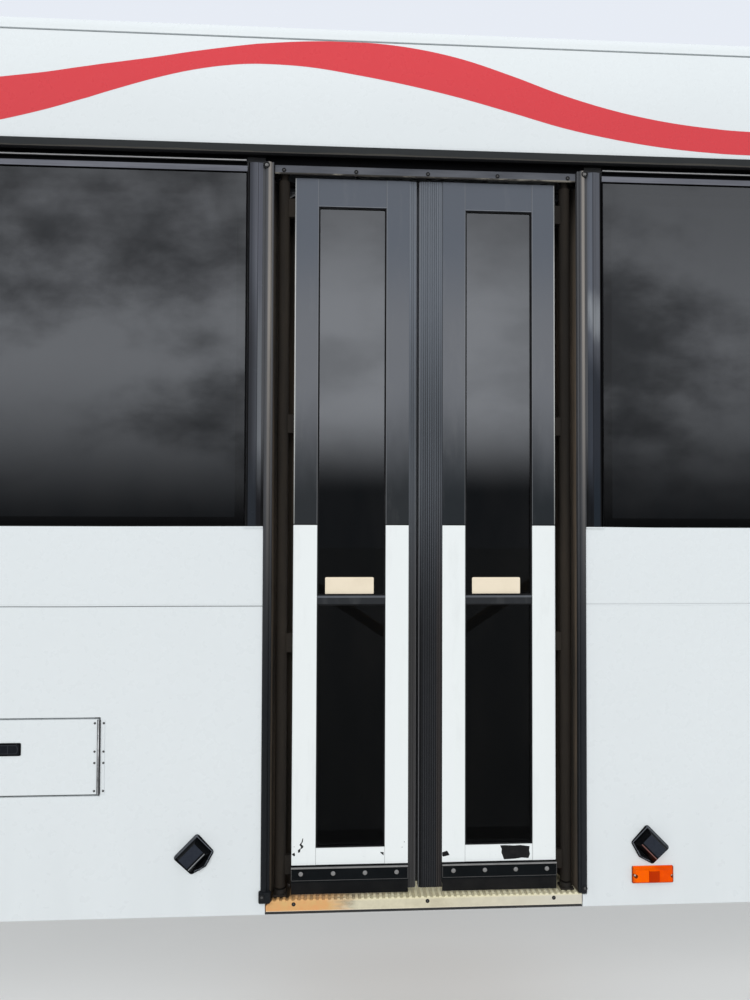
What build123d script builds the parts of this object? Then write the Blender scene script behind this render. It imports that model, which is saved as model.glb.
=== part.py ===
"""Bodyside section of a city bus with a two-leaf exit door that swings outwards.

X runs along the side of the bus, +Y points into the bus and +Z up. The origin is the middle of
the two bolt holes in the centre outrigger plate, on the plate's inboard face. Millimetres.
Depths are measured inboard from the outer skin.
"""

import os
from math import cos, radians, sin

from build123d import *

os.makedirs("parts", exist_ok=True)

# Length of the section, and depths behind the outer skin
HALF_LENGTH = 1880
WALL = 118  # to the inboard face of the outrigger plates
PLATE = 8
POST_BACK = WALL - PLATE
SKIN = 10
RAIL_BACK = SKIN + 40
TUBE_WALL = 3

# Across the doorway, from the middle outwards
LEAF_TIP = 46.4
LEAF_WIDTH = 312
LEAF_EDGE = LEAF_TIP + LEAF_WIDTH
SHAFT_OFFSET = 30
SHAFT_X = LEAF_EDGE + SHAFT_OFFSET
POST_CLEAR = 49.4
PANEL_EDGE = SHAFT_X + POST_CLEAR
POST_WIDTH = 50
BEAD_WIDTH = 23
BEAD_EDGE = PANEL_EDGE - BEAD_WIDTH
WINDOW_EDGE = PANEL_EDGE + 51.2
WINDOW_END = HALF_LENGTH - 41

# Heights above the mount, from the skirt up to the roof
SKIRT_LOW = 12
FLOOR_LOW = 20
TREAD_TOP = 50
LEAF_LOW = TREAD_TOP + 25
LEAF_HEIGHT = 1907
LEAF_HIGH = LEAF_LOW + LEAF_HEIGHT
SEAM = 823
WINDOW_LOW = SEAM + 210
WINDOW_HIGH = LEAF_HIGH + 1
HEADER_STRIP = (LEAF_HIGH + 5.2, LEAF_HIGH + 27.8)
BEAD_HIGH = LEAF_HIGH + 31
HEADER_LOW = LEAF_HIGH + 55
CANT_LOW = LEAF_HIGH - 5
CANT_HIGH = HEADER_LOW + 70
DRIP_LOW = LEAF_HIGH + 46
COVE_LOW = DRIP_LOW + 35
COVE_HEIGHT = 289
COVE_HIGH = COVE_LOW + COVE_HEIGHT
ROOF_SEAM = 5
ROOF_EDGE_LOW = COVE_HIGH + ROOF_SEAM
ROOF_EDGE_HEIGHT = 42
ROOF_TOP = ROOF_EDGE_LOW + ROOF_EDGE_HEIGHT
ROOF_RADIUS = 30
POST_TOP = COVE_HIGH - 42

# Door leaves: thickness, widths of the uprights, heights of the bars
LEAF_FRONT = 18
LEAF_THICK = 36
LEAF_BACK = LEAF_FRONT + LEAF_THICK
OUTER_STILE = 64.5
LEADING_STILE = 62.5
LIGHT_LOW = LEAF_LOW + 98.5
LIGHT_HIGH = LEAF_HIGH - 76
MID_BAR = (SEAM + 1, SEAM + 24)
GLASS = 5
GLASS_FRONT = 25
GROOVE = 10
BAR_GROOVE = 6
GLASS_END = 1  # room between a pane's edge and the bottom of its groove
FIT = 0.3
GLAZING = 4

# Rubber on the leaves. The leaves' leading edges leave a gap a little left of the middle.
NOSE_GAP = (-24.7, -18.7)
NOSE_FRONT = 20
NOSE_BACK = 48
SWEEP_LOW = TREAD_TOP + 5
NOSE_LOW = SWEEP_LOW + 8
STRIP = (LEAF_LOW + 13, LEAF_LOW + 46)
SWEEP_HIGH = STRIP[1] + 6
SWEEP_THICK = 4
STRIP_THICK = 3

# Shafts that carry and turn the leaves
SHAFT_DEPTH = 30
SHAFT_RADIUS = 15
PIN_RADIUS = 8
TOP_PIN_RADIUS = 10
RUNNING = 0.05
BEARING_LOW = (TREAD_TOP, TREAD_TOP + 17)
BEARING_TOP = (LEAF_HIGH + 35, HEADER_LOW)

# Drive: a lever on each shaft, a rod, and a crank under the operator, as a parallelogram
LEVER_LENGTH = 50
LEVER_START = 45
LEVER_Z = (LEAF_HIGH + 15, LEAF_HIGH + 27)
ROD_Z = (LEAF_HIGH + 4, LEAF_HIGH + 14)
EYE_RADIUS = 9
EYE_PIN = 4
ROD_HALF_WIDTH = 7
HUB_RADIUS = 15
CRANK_X = 115
CRANK_DEPTH = POST_BACK + 14
OPERATOR_LOW = LEAF_HIGH + 40


def side_plane(depth):
    """Upright plane at a depth behind the skin: x along the bus, y up, facing outwards."""
    return Plane(origin=(0, depth - WALL, 0), x_dir=(1, 0, 0), z_dir=(0, -1, 0))


def patch(x_low, x_high, low, high, mode=Mode.ADD):
    """Rectangle between two pairs of edges."""
    with Locations(((x_low + x_high) / 2, (low + high) / 2)):
        Rectangle(x_high - x_low, high - low, mode=mode)


def mirrored(pairs):
    """The spans given for the right side, then the same on the left."""
    return [*pairs, *[(-high, -low) for low, high in pairs]]


def finish(piece, name):
    """Label a sub-part and write its file."""
    piece.part.label = name
    export_step(piece.part, f"parts/{name}.step")


# Structure: sill beam with its outrigger plates, posts, rails and roof rail
SILL_FRONT = POST_BACK - 50
SILL_HALF_HEIGHT = 20
PLATE_LOW = -30
PLATE_WIDTH = 160
PLATE_SPACING = 1200
BOLT_SPACING = 100
BOLT_RADIUS = 6.5
PLATE_PLACES = [(n * PLATE_SPACING, 0) for n in (-1, 0, 1)]

with BuildPart() as sill_beam:
    with BuildSketch(Plane.YZ.offset(-HALF_LENGTH)):
        patch(SILL_FRONT - WALL, POST_BACK - WALL, -SILL_HALF_HEIGHT, SILL_HALF_HEIGHT)
        offset(amount=-TUBE_WALL, mode=Mode.SUBTRACT)
    extrude(amount=2 * HALF_LENGTH)
    with BuildSketch(side_plane(WALL)):
        for middle, _ in PLATE_PLACES:
            patch(middle - PLATE_WIDTH / 2, middle + PLATE_WIDTH / 2, PLATE_LOW, FLOOR_LOW)
    extrude(amount=PLATE)
    with BuildSketch(side_plane(WALL)):
        with Locations(*PLATE_PLACES):
            with GridLocations(BOLT_SPACING, 0, 2, 1):
                Circle(BOLT_RADIUS)
    extrude(amount=PLATE + TUBE_WALL, mode=Mode.SUBTRACT)
finish(sill_beam, "sill_beam")

DOOR_POST = (PANEL_EDGE, PANEL_EDGE + POST_WIDTH)
END_POST = (HALF_LENGTH - POST_WIDTH, HALF_LENGTH)
BOTH_BAYS = mirrored([(DOOR_POST[1], END_POST[0])])


def posts(span):
    """Two upright tubes, one each side of the door."""
    with BuildPart() as piece:
        with BuildSketch(Plane.XY.offset(FLOOR_LOW)):
            for low, high in mirrored([span]):
                patch(low, high, SKIN - WALL, POST_BACK - WALL)
                patch(
                    low + TUBE_WALL,
                    high - TUBE_WALL,
                    SKIN + TUBE_WALL - WALL,
                    POST_BACK - TUBE_WALL - WALL,
                    Mode.SUBTRACT,
                )
        extrude(amount=POST_TOP - FLOOR_LOW)
    return piece


def rails(spans, back, heights):
    """Tubes along the bus behind the skin, at one or more pairs of heights."""
    with BuildPart() as piece:
        for start, end in spans:
            with BuildSketch(Plane.YZ.offset(start)):
                for low, high in heights:
                    patch(SKIN - WALL, back - WALL, low, high)
                offset(amount=-TUBE_WALL, mode=Mode.SUBTRACT)
            extrude(amount=end - start)
    return piece


SKIRT_RAIL = (SKIRT_LOW + 10, SKIRT_LOW + 50)
SEAM_RAIL = (SEAM - 20, SEAM + 20)
WAIST_RAIL = (WINDOW_LOW - 25, WINDOW_LOW + 15)
CANT_RAIL = (CANT_LOW, CANT_HIGH)
HEADER_RAIL = (HEADER_LOW, CANT_HIGH)
ROOF_RAIL = (POST_TOP, ROOF_TOP - ROOF_RADIUS)
finish(posts(DOOR_POST), "door_posts")
finish(posts(END_POST), "end_posts")
finish(rails(BOTH_BAYS, RAIL_BACK, [SKIRT_RAIL, SEAM_RAIL]), "skirt_rails")
finish(rails(BOTH_BAYS, RAIL_BACK, [WAIST_RAIL]), "waist_rails")
finish(rails(BOTH_BAYS, RAIL_BACK, [CANT_RAIL]), "cant_rails")
finish(rails([(-DOOR_POST[0], DOOR_POST[0])], POST_BACK, [HEADER_RAIL]), "door_header")
finish(rails([(-HALF_LENGTH, HALF_LENGTH)], POST_BACK, [ROOF_RAIL]), "roof_rail")

# Outer panels. The skirts reach a little into the doorway at its foot.
PANEL_GAP = 7
SKIRT_HIGH = SEAM - PANEL_GAP / 2
TAB_REACH = 12
TAB_HIGH = SKIRT_LOW + 32
FLAP_X = (-1185, -861)
FLAP_Z = (333.5, 528)
FLAP_GAP = 5
FRAME_LOW = WINDOW_LOW - 3


def panels(outlines, front, back, holes=()):
    """Flat pieces between two depths, each outline as x low, x high, z low, z high."""
    with BuildPart() as piece:
        with BuildSketch(side_plane(back)):
            for outline in outlines:
                patch(*outline)
            for hole in holes:
                patch(*hole, mode=Mode.SUBTRACT)
        extrude(amount=back - front)
    return piece


left_skirt = (-HALF_LENGTH, -PANEL_EDGE, SKIRT_LOW, SKIRT_HIGH)
left_tab = (-PANEL_EDGE, TAB_REACH - PANEL_EDGE, SKIRT_LOW, TAB_HIGH)
right_skirt = (PANEL_EDGE, HALF_LENGTH, SKIRT_LOW, SKIRT_HIGH)
right_tab = (PANEL_EDGE - TAB_REACH, PANEL_EDGE, SKIRT_LOW, TAB_HIGH)
flap_hole = (
    FLAP_X[0] - FLAP_GAP,
    FLAP_X[1] + FLAP_GAP,
    FLAP_Z[0] - FLAP_GAP,
    FLAP_Z[1] + FLAP_GAP,
)
finish(panels([left_skirt, left_tab], 0, SKIN, [flap_hole]), "left_skirt_panel")
finish(panels([right_skirt, right_tab], 0, SKIN), "right_skirt_panel")
waist_outlines = [
    (low, high, SEAM + PANEL_GAP / 2, FRAME_LOW)
    for low, high in mirrored([(PANEL_EDGE, HALF_LENGTH)])
]
finish(panels(waist_outlines, 0, SKIN), "waist_panels")
cove_outline = (-HALF_LENGTH, HALF_LENGTH, COVE_LOW, COVE_HIGH)
finish(panels([cove_outline], 0, SKIN), "cove_panel")

# Roof edge: upright face, round corner, and the start of the roof
ROOF_STUB = 260
ROOF_RISE = 12
SHOULDER = ROOF_TOP - ROOF_RADIUS
with BuildPart() as roof_edge:
    with BuildSketch(Plane.YZ.offset(-HALF_LENGTH)):
        with BuildLine():
            Line((-WALL, ROOF_EDGE_LOW), (-WALL, SHOULDER))
            RadiusArc((-WALL, SHOULDER), (ROOF_RADIUS - WALL, ROOF_TOP), ROOF_RADIUS)
            Polyline(
                (ROOF_RADIUS - WALL, ROOF_TOP),
                (ROOF_STUB - WALL, ROOF_TOP + ROOF_RISE),
                (ROOF_STUB - WALL, ROOF_TOP + ROOF_RISE - SKIN),
                (ROOF_RADIUS - WALL, ROOF_TOP - SKIN),
            )
            RadiusArc(
                (ROOF_RADIUS - WALL, ROOF_TOP - SKIN),
                (SKIN - WALL, SHOULDER),
                SKIN - ROOF_RADIUS,
            )
            Polyline((SKIN - WALL, SHOULDER), (SKIN - WALL, ROOF_EDGE_LOW), (-WALL, ROOF_EDGE_LOW))
        make_face()
    extrude(amount=2 * HALF_LENGTH)
finish(roof_edge, "roof_edge")

# Drip rail under the cove panel: an upright face with a rolled lip along its low edge
DRIP_FACE = 8
DRIP_OUT = 13
DRIP_UNDER = 3
LIP_ROOT = 10
LIP_BEVEL = 2
DRIP_SLOPE = 4
with BuildPart() as drip_rail:
    with BuildSketch(Plane.YZ.offset(-HALF_LENGTH)):
        with BuildLine():
            Polyline(
                (SKIN - WALL, DRIP_LOW + DRIP_UNDER),
                (DRIP_UNDER - DRIP_FACE - WALL, DRIP_LOW + DRIP_UNDER),
                (-DRIP_FACE - WALL, DRIP_LOW),
                (LIP_BEVEL - DRIP_OUT - WALL, DRIP_LOW),
                (-DRIP_OUT - WALL, DRIP_LOW + LIP_BEVEL),
                (-DRIP_OUT - WALL, DRIP_LOW + 3 * LIP_BEVEL),
                (-DRIP_FACE - WALL, DRIP_LOW + LIP_ROOT),
                (-DRIP_FACE - WALL, COVE_LOW - DRIP_SLOPE),
                (-WALL, COVE_LOW),
                (SKIN - WALL, COVE_LOW),
                close=True,
            )
        make_face()
    extrude(amount=2 * HALF_LENGTH)
finish(drip_rail, "drip_rail")

# Bright trims over the windows
WINDOW_TRIM = (LEAF_HIGH + 33.5, LEAF_HIGH + 39.8)
WINDOW_TRIM_FRONT = 3
trim_outlines = [(*span, *WINDOW_TRIM) for span in mirrored([(WINDOW_EDGE, HALF_LENGTH)])]
finish(panels(trim_outlines, WINDOW_TRIM_FRONT, SKIN), "window_trims")

# Windows: a frame with a bonding flange behind the glass, deeper along its top
FRAME_RIM = 3
FRAME_FRONT = 1
FRAME_HIGH = WINDOW_HIGH + 20.5
BOND_WIDTH = 25
GLASS_GAP = 1
TOP_GAP = 5
POCKET_BACK = FRAME_FRONT + GLASS
WINDOW_SPANS = mirrored([(WINDOW_EDGE, WINDOW_END)])
with BuildPart() as window_frames:
    with BuildSketch(side_plane(SKIN)):
        for low, high in WINDOW_SPANS:
            patch(low - FRAME_RIM, high + FRAME_RIM, FRAME_LOW, FRAME_HIGH)
            patch(
                low + BOND_WIDTH,
                high - BOND_WIDTH,
                WINDOW_LOW + BOND_WIDTH,
                WINDOW_HIGH - BOND_WIDTH,
                Mode.SUBTRACT,
            )
    extrude(amount=SKIN - FRAME_FRONT)
    with BuildSketch(side_plane(POCKET_BACK)):
        for low, high in WINDOW_SPANS:
            patch(
                low - GLASS_GAP,
                high + GLASS_GAP,
                WINDOW_LOW - GLASS_GAP,
                WINDOW_HIGH + TOP_GAP,
            )
    extrude(amount=GLASS, mode=Mode.SUBTRACT)
finish(window_frames, "window_frames")
panes = [(*span, WINDOW_LOW, WINDOW_HIGH) for span in WINDOW_SPANS]
finish(panels(panes, FRAME_FRONT, POCKET_BACK), "windows")

# Gloss trims on the door posts, above the waist, each with a raised ridge
TRIM_INNER = PANEL_EDGE + 6.4
TRIM_RIDGE = PANEL_EDGE + 25.2
TRIM_OUTER = PANEL_EDGE + 44.4
TRIM_PROUD = 3
TRIM_HIGH = LEAF_HIGH + 30
with BuildPart() as pillar_trims:
    with BuildSketch(Plane.XY.offset(WINDOW_LOW)):
        for side in (-1, 1):
            with BuildLine():
                Polyline(
                    (side * TRIM_INNER, SKIN - WALL),
                    (side * TRIM_INNER, -WALL),
                    (side * (TRIM_RIDGE - 1), -WALL - TRIM_PROUD),
                    (side * (TRIM_RIDGE + 1), -WALL - TRIM_PROUD),
                    (side * TRIM_OUTER, -WALL),
                    (side * TRIM_OUTER, SKIN - WALL),
                    close=True,
                )
            make_face()
    extrude(amount=TRIM_HIGH - WINDOW_LOW)
finish(pillar_trims, "pillar_trims")

# Rubber round the doorway: a lip and a bulb at the panel edge, a flat flange over the post
# above the waist, and a moulded foot under the left one
BEAD_OUT = 8
BEAD_LIP = 5
BEAD_LIP_OUT = 3
BEAD_SLOT = 1
FLANGE_OUT = 1
FOOT_REACH = 5.2
FOOT_OUT = 10
FOOT_HIGH = 31
FOOT_RADIUS = 5
FOOT_TAPER = 8
SLOT_EDGE = BEAD_EDGE + BEAD_LIP
BULB_EDGE = SLOT_EDGE + BEAD_SLOT
with BuildPart() as jamb_beads:
    with BuildSketch(Plane.XY.offset(TREAD_TOP)):
        for side in (-1, 1):
            with BuildLine():
                ThreePointArc(
                    (side * BULB_EDGE, -WALL - BEAD_LIP_OUT),
                    (side * (BULB_EDGE + PANEL_EDGE) / 2, -WALL - BEAD_OUT),
                    (side * PANEL_EDGE, -WALL),
                )
                Polyline(
                    (side * PANEL_EDGE, -WALL),
                    (side * PANEL_EDGE, SKIN - WALL),
                    (side * BEAD_EDGE, SKIN - WALL),
                    (side * BEAD_EDGE, -WALL - BEAD_LIP_OUT),
                    (side * SLOT_EDGE, -WALL - BEAD_LIP_OUT),
                    (side * SLOT_EDGE, -WALL),
                    (side * BULB_EDGE, -WALL),
                    (side * BULB_EDGE, -WALL - BEAD_LIP_OUT),
                )
            make_face()
    extrude(amount=BEAD_HIGH - TREAD_TOP)
    with BuildSketch(side_plane(SKIN)):
        for low, high in mirrored([(PANEL_EDGE, TRIM_INNER - FIT)]):
            patch(low, high, WINDOW_LOW, BEAD_HIGH)
    extrude(amount=SKIN + FLANGE_OUT)
    with BuildSketch(side_plane(0)):
        with Locations((-(PANEL_EDGE + BEAD_EDGE) / 2, TAB_HIGH + FOOT_HIGH / 2)):
            RectangleRounded(BEAD_WIDTH + 2 * FOOT_REACH, FOOT_HIGH, FOOT_RADIUS)
    extrude(amount=FOOT_OUT, taper=FOOT_TAPER)
finish(jamb_beads, "jamb_beads")

# Deep reveals behind the beads, with two small ribs and a blade that closes on the leaf's edge
REVEAL_HIGH = LEAF_HIGH - 8
REVEAL_MID = (BEAD_EDGE - 5.8, 45)
REVEAL_BACK = (SHAFT_X - 2.4, POST_BACK - 2)
REVEAL_WALL = 5
RIB_SHARES = (0.3, 0.62)  # of the way from the middle to the back
REVEAL_RIB = (8, 3)
BLADE_TIP = (LEAF_EDGE - 3, LEAF_BACK + 10)
BLADE_THICK = 3
HOUSING_LOW = LEAF_HIGH - 20
BLADE_HIGH = HOUSING_LOW - 4
with BuildPart() as jamb_reveals:
    with BuildSketch(Plane.XY.offset(TREAD_TOP)):
        for side in (-1, 1):
            with BuildLine():
                Polyline(
                    (side * PANEL_EDGE, SKIN - WALL),
                    (side * BEAD_EDGE, SKIN - WALL),
                    (side * REVEAL_MID[0], REVEAL_MID[1] - WALL),
                    (side * REVEAL_BACK[0], REVEAL_BACK[1] - WALL),
                    (side * PANEL_EDGE, POST_BACK - WALL),
                    close=True,
                )
            make_face()
        offset(amount=-REVEAL_WALL, mode=Mode.SUBTRACT)
        for share in RIB_SHARES:
            rib_x = REVEAL_MID[0] + share * (REVEAL_BACK[0] - REVEAL_MID[0])
            rib_depth = REVEAL_MID[1] + share * (REVEAL_BACK[1] - REVEAL_MID[1])
            with Locations(*[(side * rib_x, rib_depth - WALL) for side in (-1, 1)]):
                Rectangle(*REVEAL_RIB)
    extrude(amount=REVEAL_HIGH - TREAD_TOP)
    with BuildSketch(Plane.XY.offset(TREAD_TOP)):
        for side in (-1, 1):
            with BuildLine():
                Polyline(
                    (side * BLADE_TIP[0], BLADE_TIP[1] - WALL),
                    (side * (BLADE_TIP[0] - BLADE_THICK), BLADE_TIP[1] + 2 - WALL),
                    (side * (REVEAL_BACK[0] - BLADE_THICK), REVEAL_BACK[1] + 1 - WALL),
                    (side * (REVEAL_BACK[0] + BLADE_THICK), REVEAL_BACK[1] - 1 - WALL),
                    close=True,
                )
            make_face()
    extrude(amount=BLADE_HIGH - TREAD_TOP)
finish(jamb_reveals, "jamb_reveals")

# Fascia over the leaves: a recessed plate, with a screwed strip along its low edge
STRIP_HALF = BEAD_EDGE - 2.3
FASCIA_FRONT = 8
FASCIA_HIGH = DRIP_LOW + DRIP_UNDER
HEADER_FRONT = 5
with BuildPart() as header_strip:
    with BuildSketch(side_plane(SKIN)):
        patch(-PANEL_EDGE, PANEL_EDGE, BEAD_HIGH, FASCIA_HIGH)
        patch(-STRIP_HALF, STRIP_HALF, HEADER_STRIP[0], FASCIA_HIGH)
    extrude(amount=SKIN - FASCIA_FRONT)
    with BuildSketch(side_plane(FASCIA_FRONT)):
        patch(-STRIP_HALF, STRIP_HALF, *HEADER_STRIP)
    extrude(amount=FASCIA_FRONT - HEADER_FRONT)
finish(header_strip, "header_strip")

# Floor edge: board on the sill beam, ribbed tread plate with its nosing in front
FLOOR_HALF = PANEL_EDGE - 2
FLOOR_DEPTH = 420
TREAD = 8
TREAD_DEPTH = 160
NOSING_HALF = PANEL_EDGE - TAB_REACH - 2.5
NOSING_LOW = SKIRT_LOW + 7
NOSING_THICK = 4
RIB_PITCH = 16
RIB_WIDE = 10
RIB_HIGH = 4
RIB_ANGLE = 62
CORNER_CUT = (20, 17)  # off the tread's left front corner, across and down
CORNER_DEPTH = 34
with BuildPart() as floor_board:
    with BuildSketch(Plane.XY.offset(FLOOR_LOW)):
        patch(-FLOOR_HALF, FLOOR_HALF, SKIN - WALL, FLOOR_DEPTH - WALL)
    extrude(amount=TREAD_TOP - TREAD - FLOOR_LOW)
finish(floor_board, "floor_board")

TREAD_BASE = TREAD_TOP - RIB_HIGH
with BuildPart() as threshold:
    with BuildSketch(Plane.YZ.offset(-NOSING_HALF)):
        patch(-WALL, TREAD_DEPTH - WALL, TREAD_TOP - TREAD, TREAD_BASE)
        patch(-WALL, NOSING_THICK - WALL, NOSING_LOW, TREAD_BASE)
    extrude(amount=2 * NOSING_HALF)
    with BuildSketch(side_plane(0)):
        with Locations((0, TREAD_BASE + RIB_HIGH / 2)):
            with GridLocations(RIB_PITCH, 0, int(2 * NOSING_HALF / RIB_PITCH), 1):
                Trapezoid(RIB_WIDE, RIB_HIGH, RIB_ANGLE)
    extrude(amount=-TREAD_DEPTH)
    with BuildSketch(side_plane(CORNER_DEPTH)):
        with BuildLine():
            Polyline(
                (-NOSING_HALF - 1, TREAD_TOP + 1),
                (CORNER_CUT[0] - NOSING_HALF, TREAD_TOP + 1),
                (-NOSING_HALF - 1, TREAD_TOP - CORNER_CUT[1]),
                close=True,
            )
        make_face()
    extrude(amount=CORNER_DEPTH, mode=Mode.SUBTRACT)
finish(threshold, "threshold")

with BuildPart() as floor_covering:
    with BuildSketch(Plane.XY.offset(TREAD_TOP - TREAD)):
        patch(-FLOOR_HALF, FLOOR_HALF, TREAD_DEPTH - WALL, FLOOR_DEPTH - WALL)
    extrude(amount=TREAD)
finish(floor_covering, "floor_covering")

# Pivot bearings: bored bosses on the tread and under the header, each on a small plate
BEARING_WIDTH = 36
BEARING_DEPTH = 34
BEARING_PLATE = 5
BOSS_RADIUS = 16
SHAFT_PLACES = [(side * SHAFT_X, SHAFT_DEPTH - WALL) for side in (-1, 1)]
with BuildPart() as pivot_bearings:
    for plate_low, boss, radius in (
        (TREAD_TOP, BEARING_LOW, PIN_RADIUS),
        (HEADER_LOW - BEARING_PLATE, BEARING_TOP, TOP_PIN_RADIUS),
    ):
        with BuildSketch(Plane.XY.offset(plate_low)):
            with Locations(*SHAFT_PLACES):
                Rectangle(BEARING_WIDTH, BEARING_DEPTH)
        extrude(amount=BEARING_PLATE)
        with BuildSketch(Plane.XY.offset(boss[0])):
            with Locations(*SHAFT_PLACES):
                Circle(BOSS_RADIUS)
        extrude(amount=boss[1] - boss[0])
        with BuildSketch(Plane.XY.offset(boss[0])):
            with Locations(*SHAFT_PLACES):
                Circle(radius + RUNNING)
        extrude(amount=boss[1] - boss[0], mode=Mode.SUBTRACT)
finish(pivot_bearings, "pivot_bearings")

# Door leaves. Each is built from its side's sign and its leading edge.
EDGE_ROUND = 3
RAIL_SET = 0.6
BAR_BEVEL = (4, 6)
PANE_GROOVE = (GLASS_FRONT - FIT - WALL, GLASS_FRONT + GLASS + FIT - WALL)


def leaf_spans(side):
    """Outer upright, light and leading upright of a leaf, outermost first, as x spans."""
    edge = side * LEAF_EDGE
    inner = side * (LEAF_EDGE - OUTER_STILE)
    lead = side * (LEAF_TIP + LEADING_STILE)
    tip = side * LEAF_TIP
    return sorted((edge, inner)), sorted((inner, lead)), sorted((lead, tip))


def leaf_uprights(side):
    """The two uprights, each with a groove for the glass and a rounded outer front edge."""
    outer, light, leading = leaf_spans(side)
    with BuildPart() as piece:
        with BuildSketch(Plane.XY.offset(LEAF_LOW)) as outline:
            patch(*outer, LEAF_FRONT - WALL, LEAF_BACK - WALL)
            corners = outline.vertices().group_by(Axis.X)[-1 if side > 0 else 0]
            fillet(corners.sort_by(Axis.Y)[0], EDGE_ROUND)
            patch(*leading, LEAF_FRONT - WALL, LEAF_BACK - WALL)
            patch(light[0] - GROOVE, light[1] + GROOVE, *PANE_GROOVE, Mode.SUBTRACT)
        extrude(amount=LEAF_HIGH - LEAF_LOW)
    return piece


def leaf_rails(side):
    """Top rail, bevelled bar and bottom rail, between the uprights, with grooves for the glass."""
    light = leaf_spans(side)[1]
    front = LEAF_FRONT + RAIL_SET - WALL
    back = LEAF_BACK - WALL
    with BuildPart() as piece:
        with BuildSketch(Plane.YZ.offset(light[0])):
            patch(front, back, LIGHT_HIGH, LEAF_HIGH)
            patch(front, back, LEAF_LOW, LIGHT_LOW)
            with BuildLine():
                Polyline(
                    (front, MID_BAR[0]),
                    (back, MID_BAR[0]),
                    (back, MID_BAR[1]),
                    (front + BAR_BEVEL[0], MID_BAR[1]),
                    (front, MID_BAR[1] - BAR_BEVEL[1]),
                    close=True,
                )
            make_face()
            patch(*PANE_GROOVE, LIGHT_LOW - GROOVE, MID_BAR[0] + BAR_GROOVE, Mode.SUBTRACT)
            patch(*PANE_GROOVE, MID_BAR[1] - BAR_GROOVE, LIGHT_HIGH + GROOVE, Mode.SUBTRACT)
        extrude(amount=light[1] - light[0])
    return piece


def leaf_glass(side):
    """Two panes, held in the grooves."""
    light = leaf_spans(side)[1]
    hold = GROOVE - GLASS_END
    bar_hold = BAR_GROOVE - GLASS_END
    low, high = light[0] - hold, light[1] + hold
    outlines = [
        (low, high, LIGHT_LOW - hold, MID_BAR[0] + bar_hold),
        (low, high, MID_BAR[1] - bar_hold, LIGHT_HIGH + hold),
    ]
    return panels(outlines, GLASS_FRONT, GLASS_FRONT + GLASS)


GLAZING_ROUND = 3


def leaf_glazing(side):
    """Rubber ring in front of each pane's edges, with rounded inner corners."""
    low, high = leaf_spans(side)[1]
    with BuildPart() as piece:
        with BuildSketch(side_plane(GLASS_FRONT)):
            for bottom, top in ((LIGHT_LOW, MID_BAR[0]), (MID_BAR[1], LIGHT_HIGH)):
                patch(low, high, bottom, top)
                with Locations(((low + high) / 2, (bottom + top) / 2)):
                    RectangleRounded(
                        high - low - 2 * GLAZING,
                        top - bottom - 2 * GLAZING,
                        GLAZING_ROUND,
                        mode=Mode.SUBTRACT,
                    )
        extrude(amount=GLAZING)
    return piece


def link(start, end, half_width):
    """Flat link outline with round ends."""
    middle = ((start[0] + end[0]) / 2, (start[1] + end[1]) / 2)
    with Locations(middle):
        SlotCenterPoint((0, 0), (end[0] - middle[0], end[1] - middle[1]), 2 * half_width)


def lever_end(x, depth, side):
    """Far end of a lever or crank at rest, with its own pivot at x and depth."""
    angle = radians(LEVER_START)
    end_x = x + side * LEVER_LENGTH * sin(angle)
    return end_x, depth - WALL + LEVER_LENGTH * cos(angle)


def turned_arm(piece_x, depth, side):
    """Lever or crank plate with its hub, and the pin that the rod turns on, below it."""
    end = lever_end(piece_x, depth, side)
    with BuildSketch(Plane.XY.offset(LEVER_Z[0])) as plate:
        link((piece_x, depth - WALL), end, EYE_RADIUS)
        with Locations((piece_x, depth - WALL)):
            Circle(HUB_RADIUS)
    extrude(plate.sketch, amount=LEVER_Z[1] - LEVER_Z[0])
    with BuildSketch(Plane.XY.offset(ROD_Z[0] - 1)) as pin:
        with Locations(end):
            Circle(EYE_PIN)
    extrude(pin.sketch, amount=LEVER_Z[1] - ROD_Z[0])


def upright_pin(x, depth, radius, low, high):
    """Round bar between two heights."""
    with BuildSketch(Plane.XY.offset(low)) as section:
        with Locations((x, depth - WALL)):
            Circle(radius)
    extrude(section.sketch, amount=high - low)


ARM_HIGH = 50
ARM_HALF_THICK = 8
ARM_COUNT = 4
FIRST_ARM = LEAF_LOW + 55
ARM_PITCH = (LEAF_HIGH - 80 - FIRST_ARM) / (ARM_COUNT - 1)
SHAFT_LOW = BEARING_LOW[1] + 5
SHAFT_HIGH = LEAF_HIGH - 8
PIN_CLEAR = 3
PIN_ROOT = 1


def door_shaft(side):
    """Shaft with its arms, its pins at both ends and the drive lever."""
    x = side * SHAFT_X
    low, high = sorted((x, side * LEAF_EDGE))
    middle = SHAFT_DEPTH - WALL
    pin_low, pin_high = TREAD_TOP + PIN_CLEAR, BEARING_TOP[1] - PIN_CLEAR
    with BuildPart() as piece:
        upright_pin(x, SHAFT_DEPTH, SHAFT_RADIUS, SHAFT_LOW, SHAFT_HIGH)
        upright_pin(x, SHAFT_DEPTH, PIN_RADIUS, pin_low, SHAFT_LOW + PIN_ROOT)
        upright_pin(x, SHAFT_DEPTH, TOP_PIN_RADIUS, SHAFT_HIGH - PIN_ROOT, pin_high)
        for n in range(ARM_COUNT):
            with BuildSketch(Plane.XY.offset(FIRST_ARM + n * ARM_PITCH - ARM_HIGH / 2)):
                patch(low, high, middle - ARM_HALF_THICK, middle + ARM_HALF_THICK)
            extrude(amount=ARM_HIGH)
        turned_arm(x, SHAFT_DEPTH, side)
    return piece


CRANK_PIN = 15


def drive_crank(side):
    """Crank on the operator's output shaft."""
    x = side * CRANK_X
    with BuildPart() as piece:
        turned_arm(x, CRANK_DEPTH, side)
        upright_pin(x, CRANK_DEPTH, PIN_RADIUS, LEVER_Z[0], OPERATOR_LOW + CRANK_PIN)
    return piece


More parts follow.
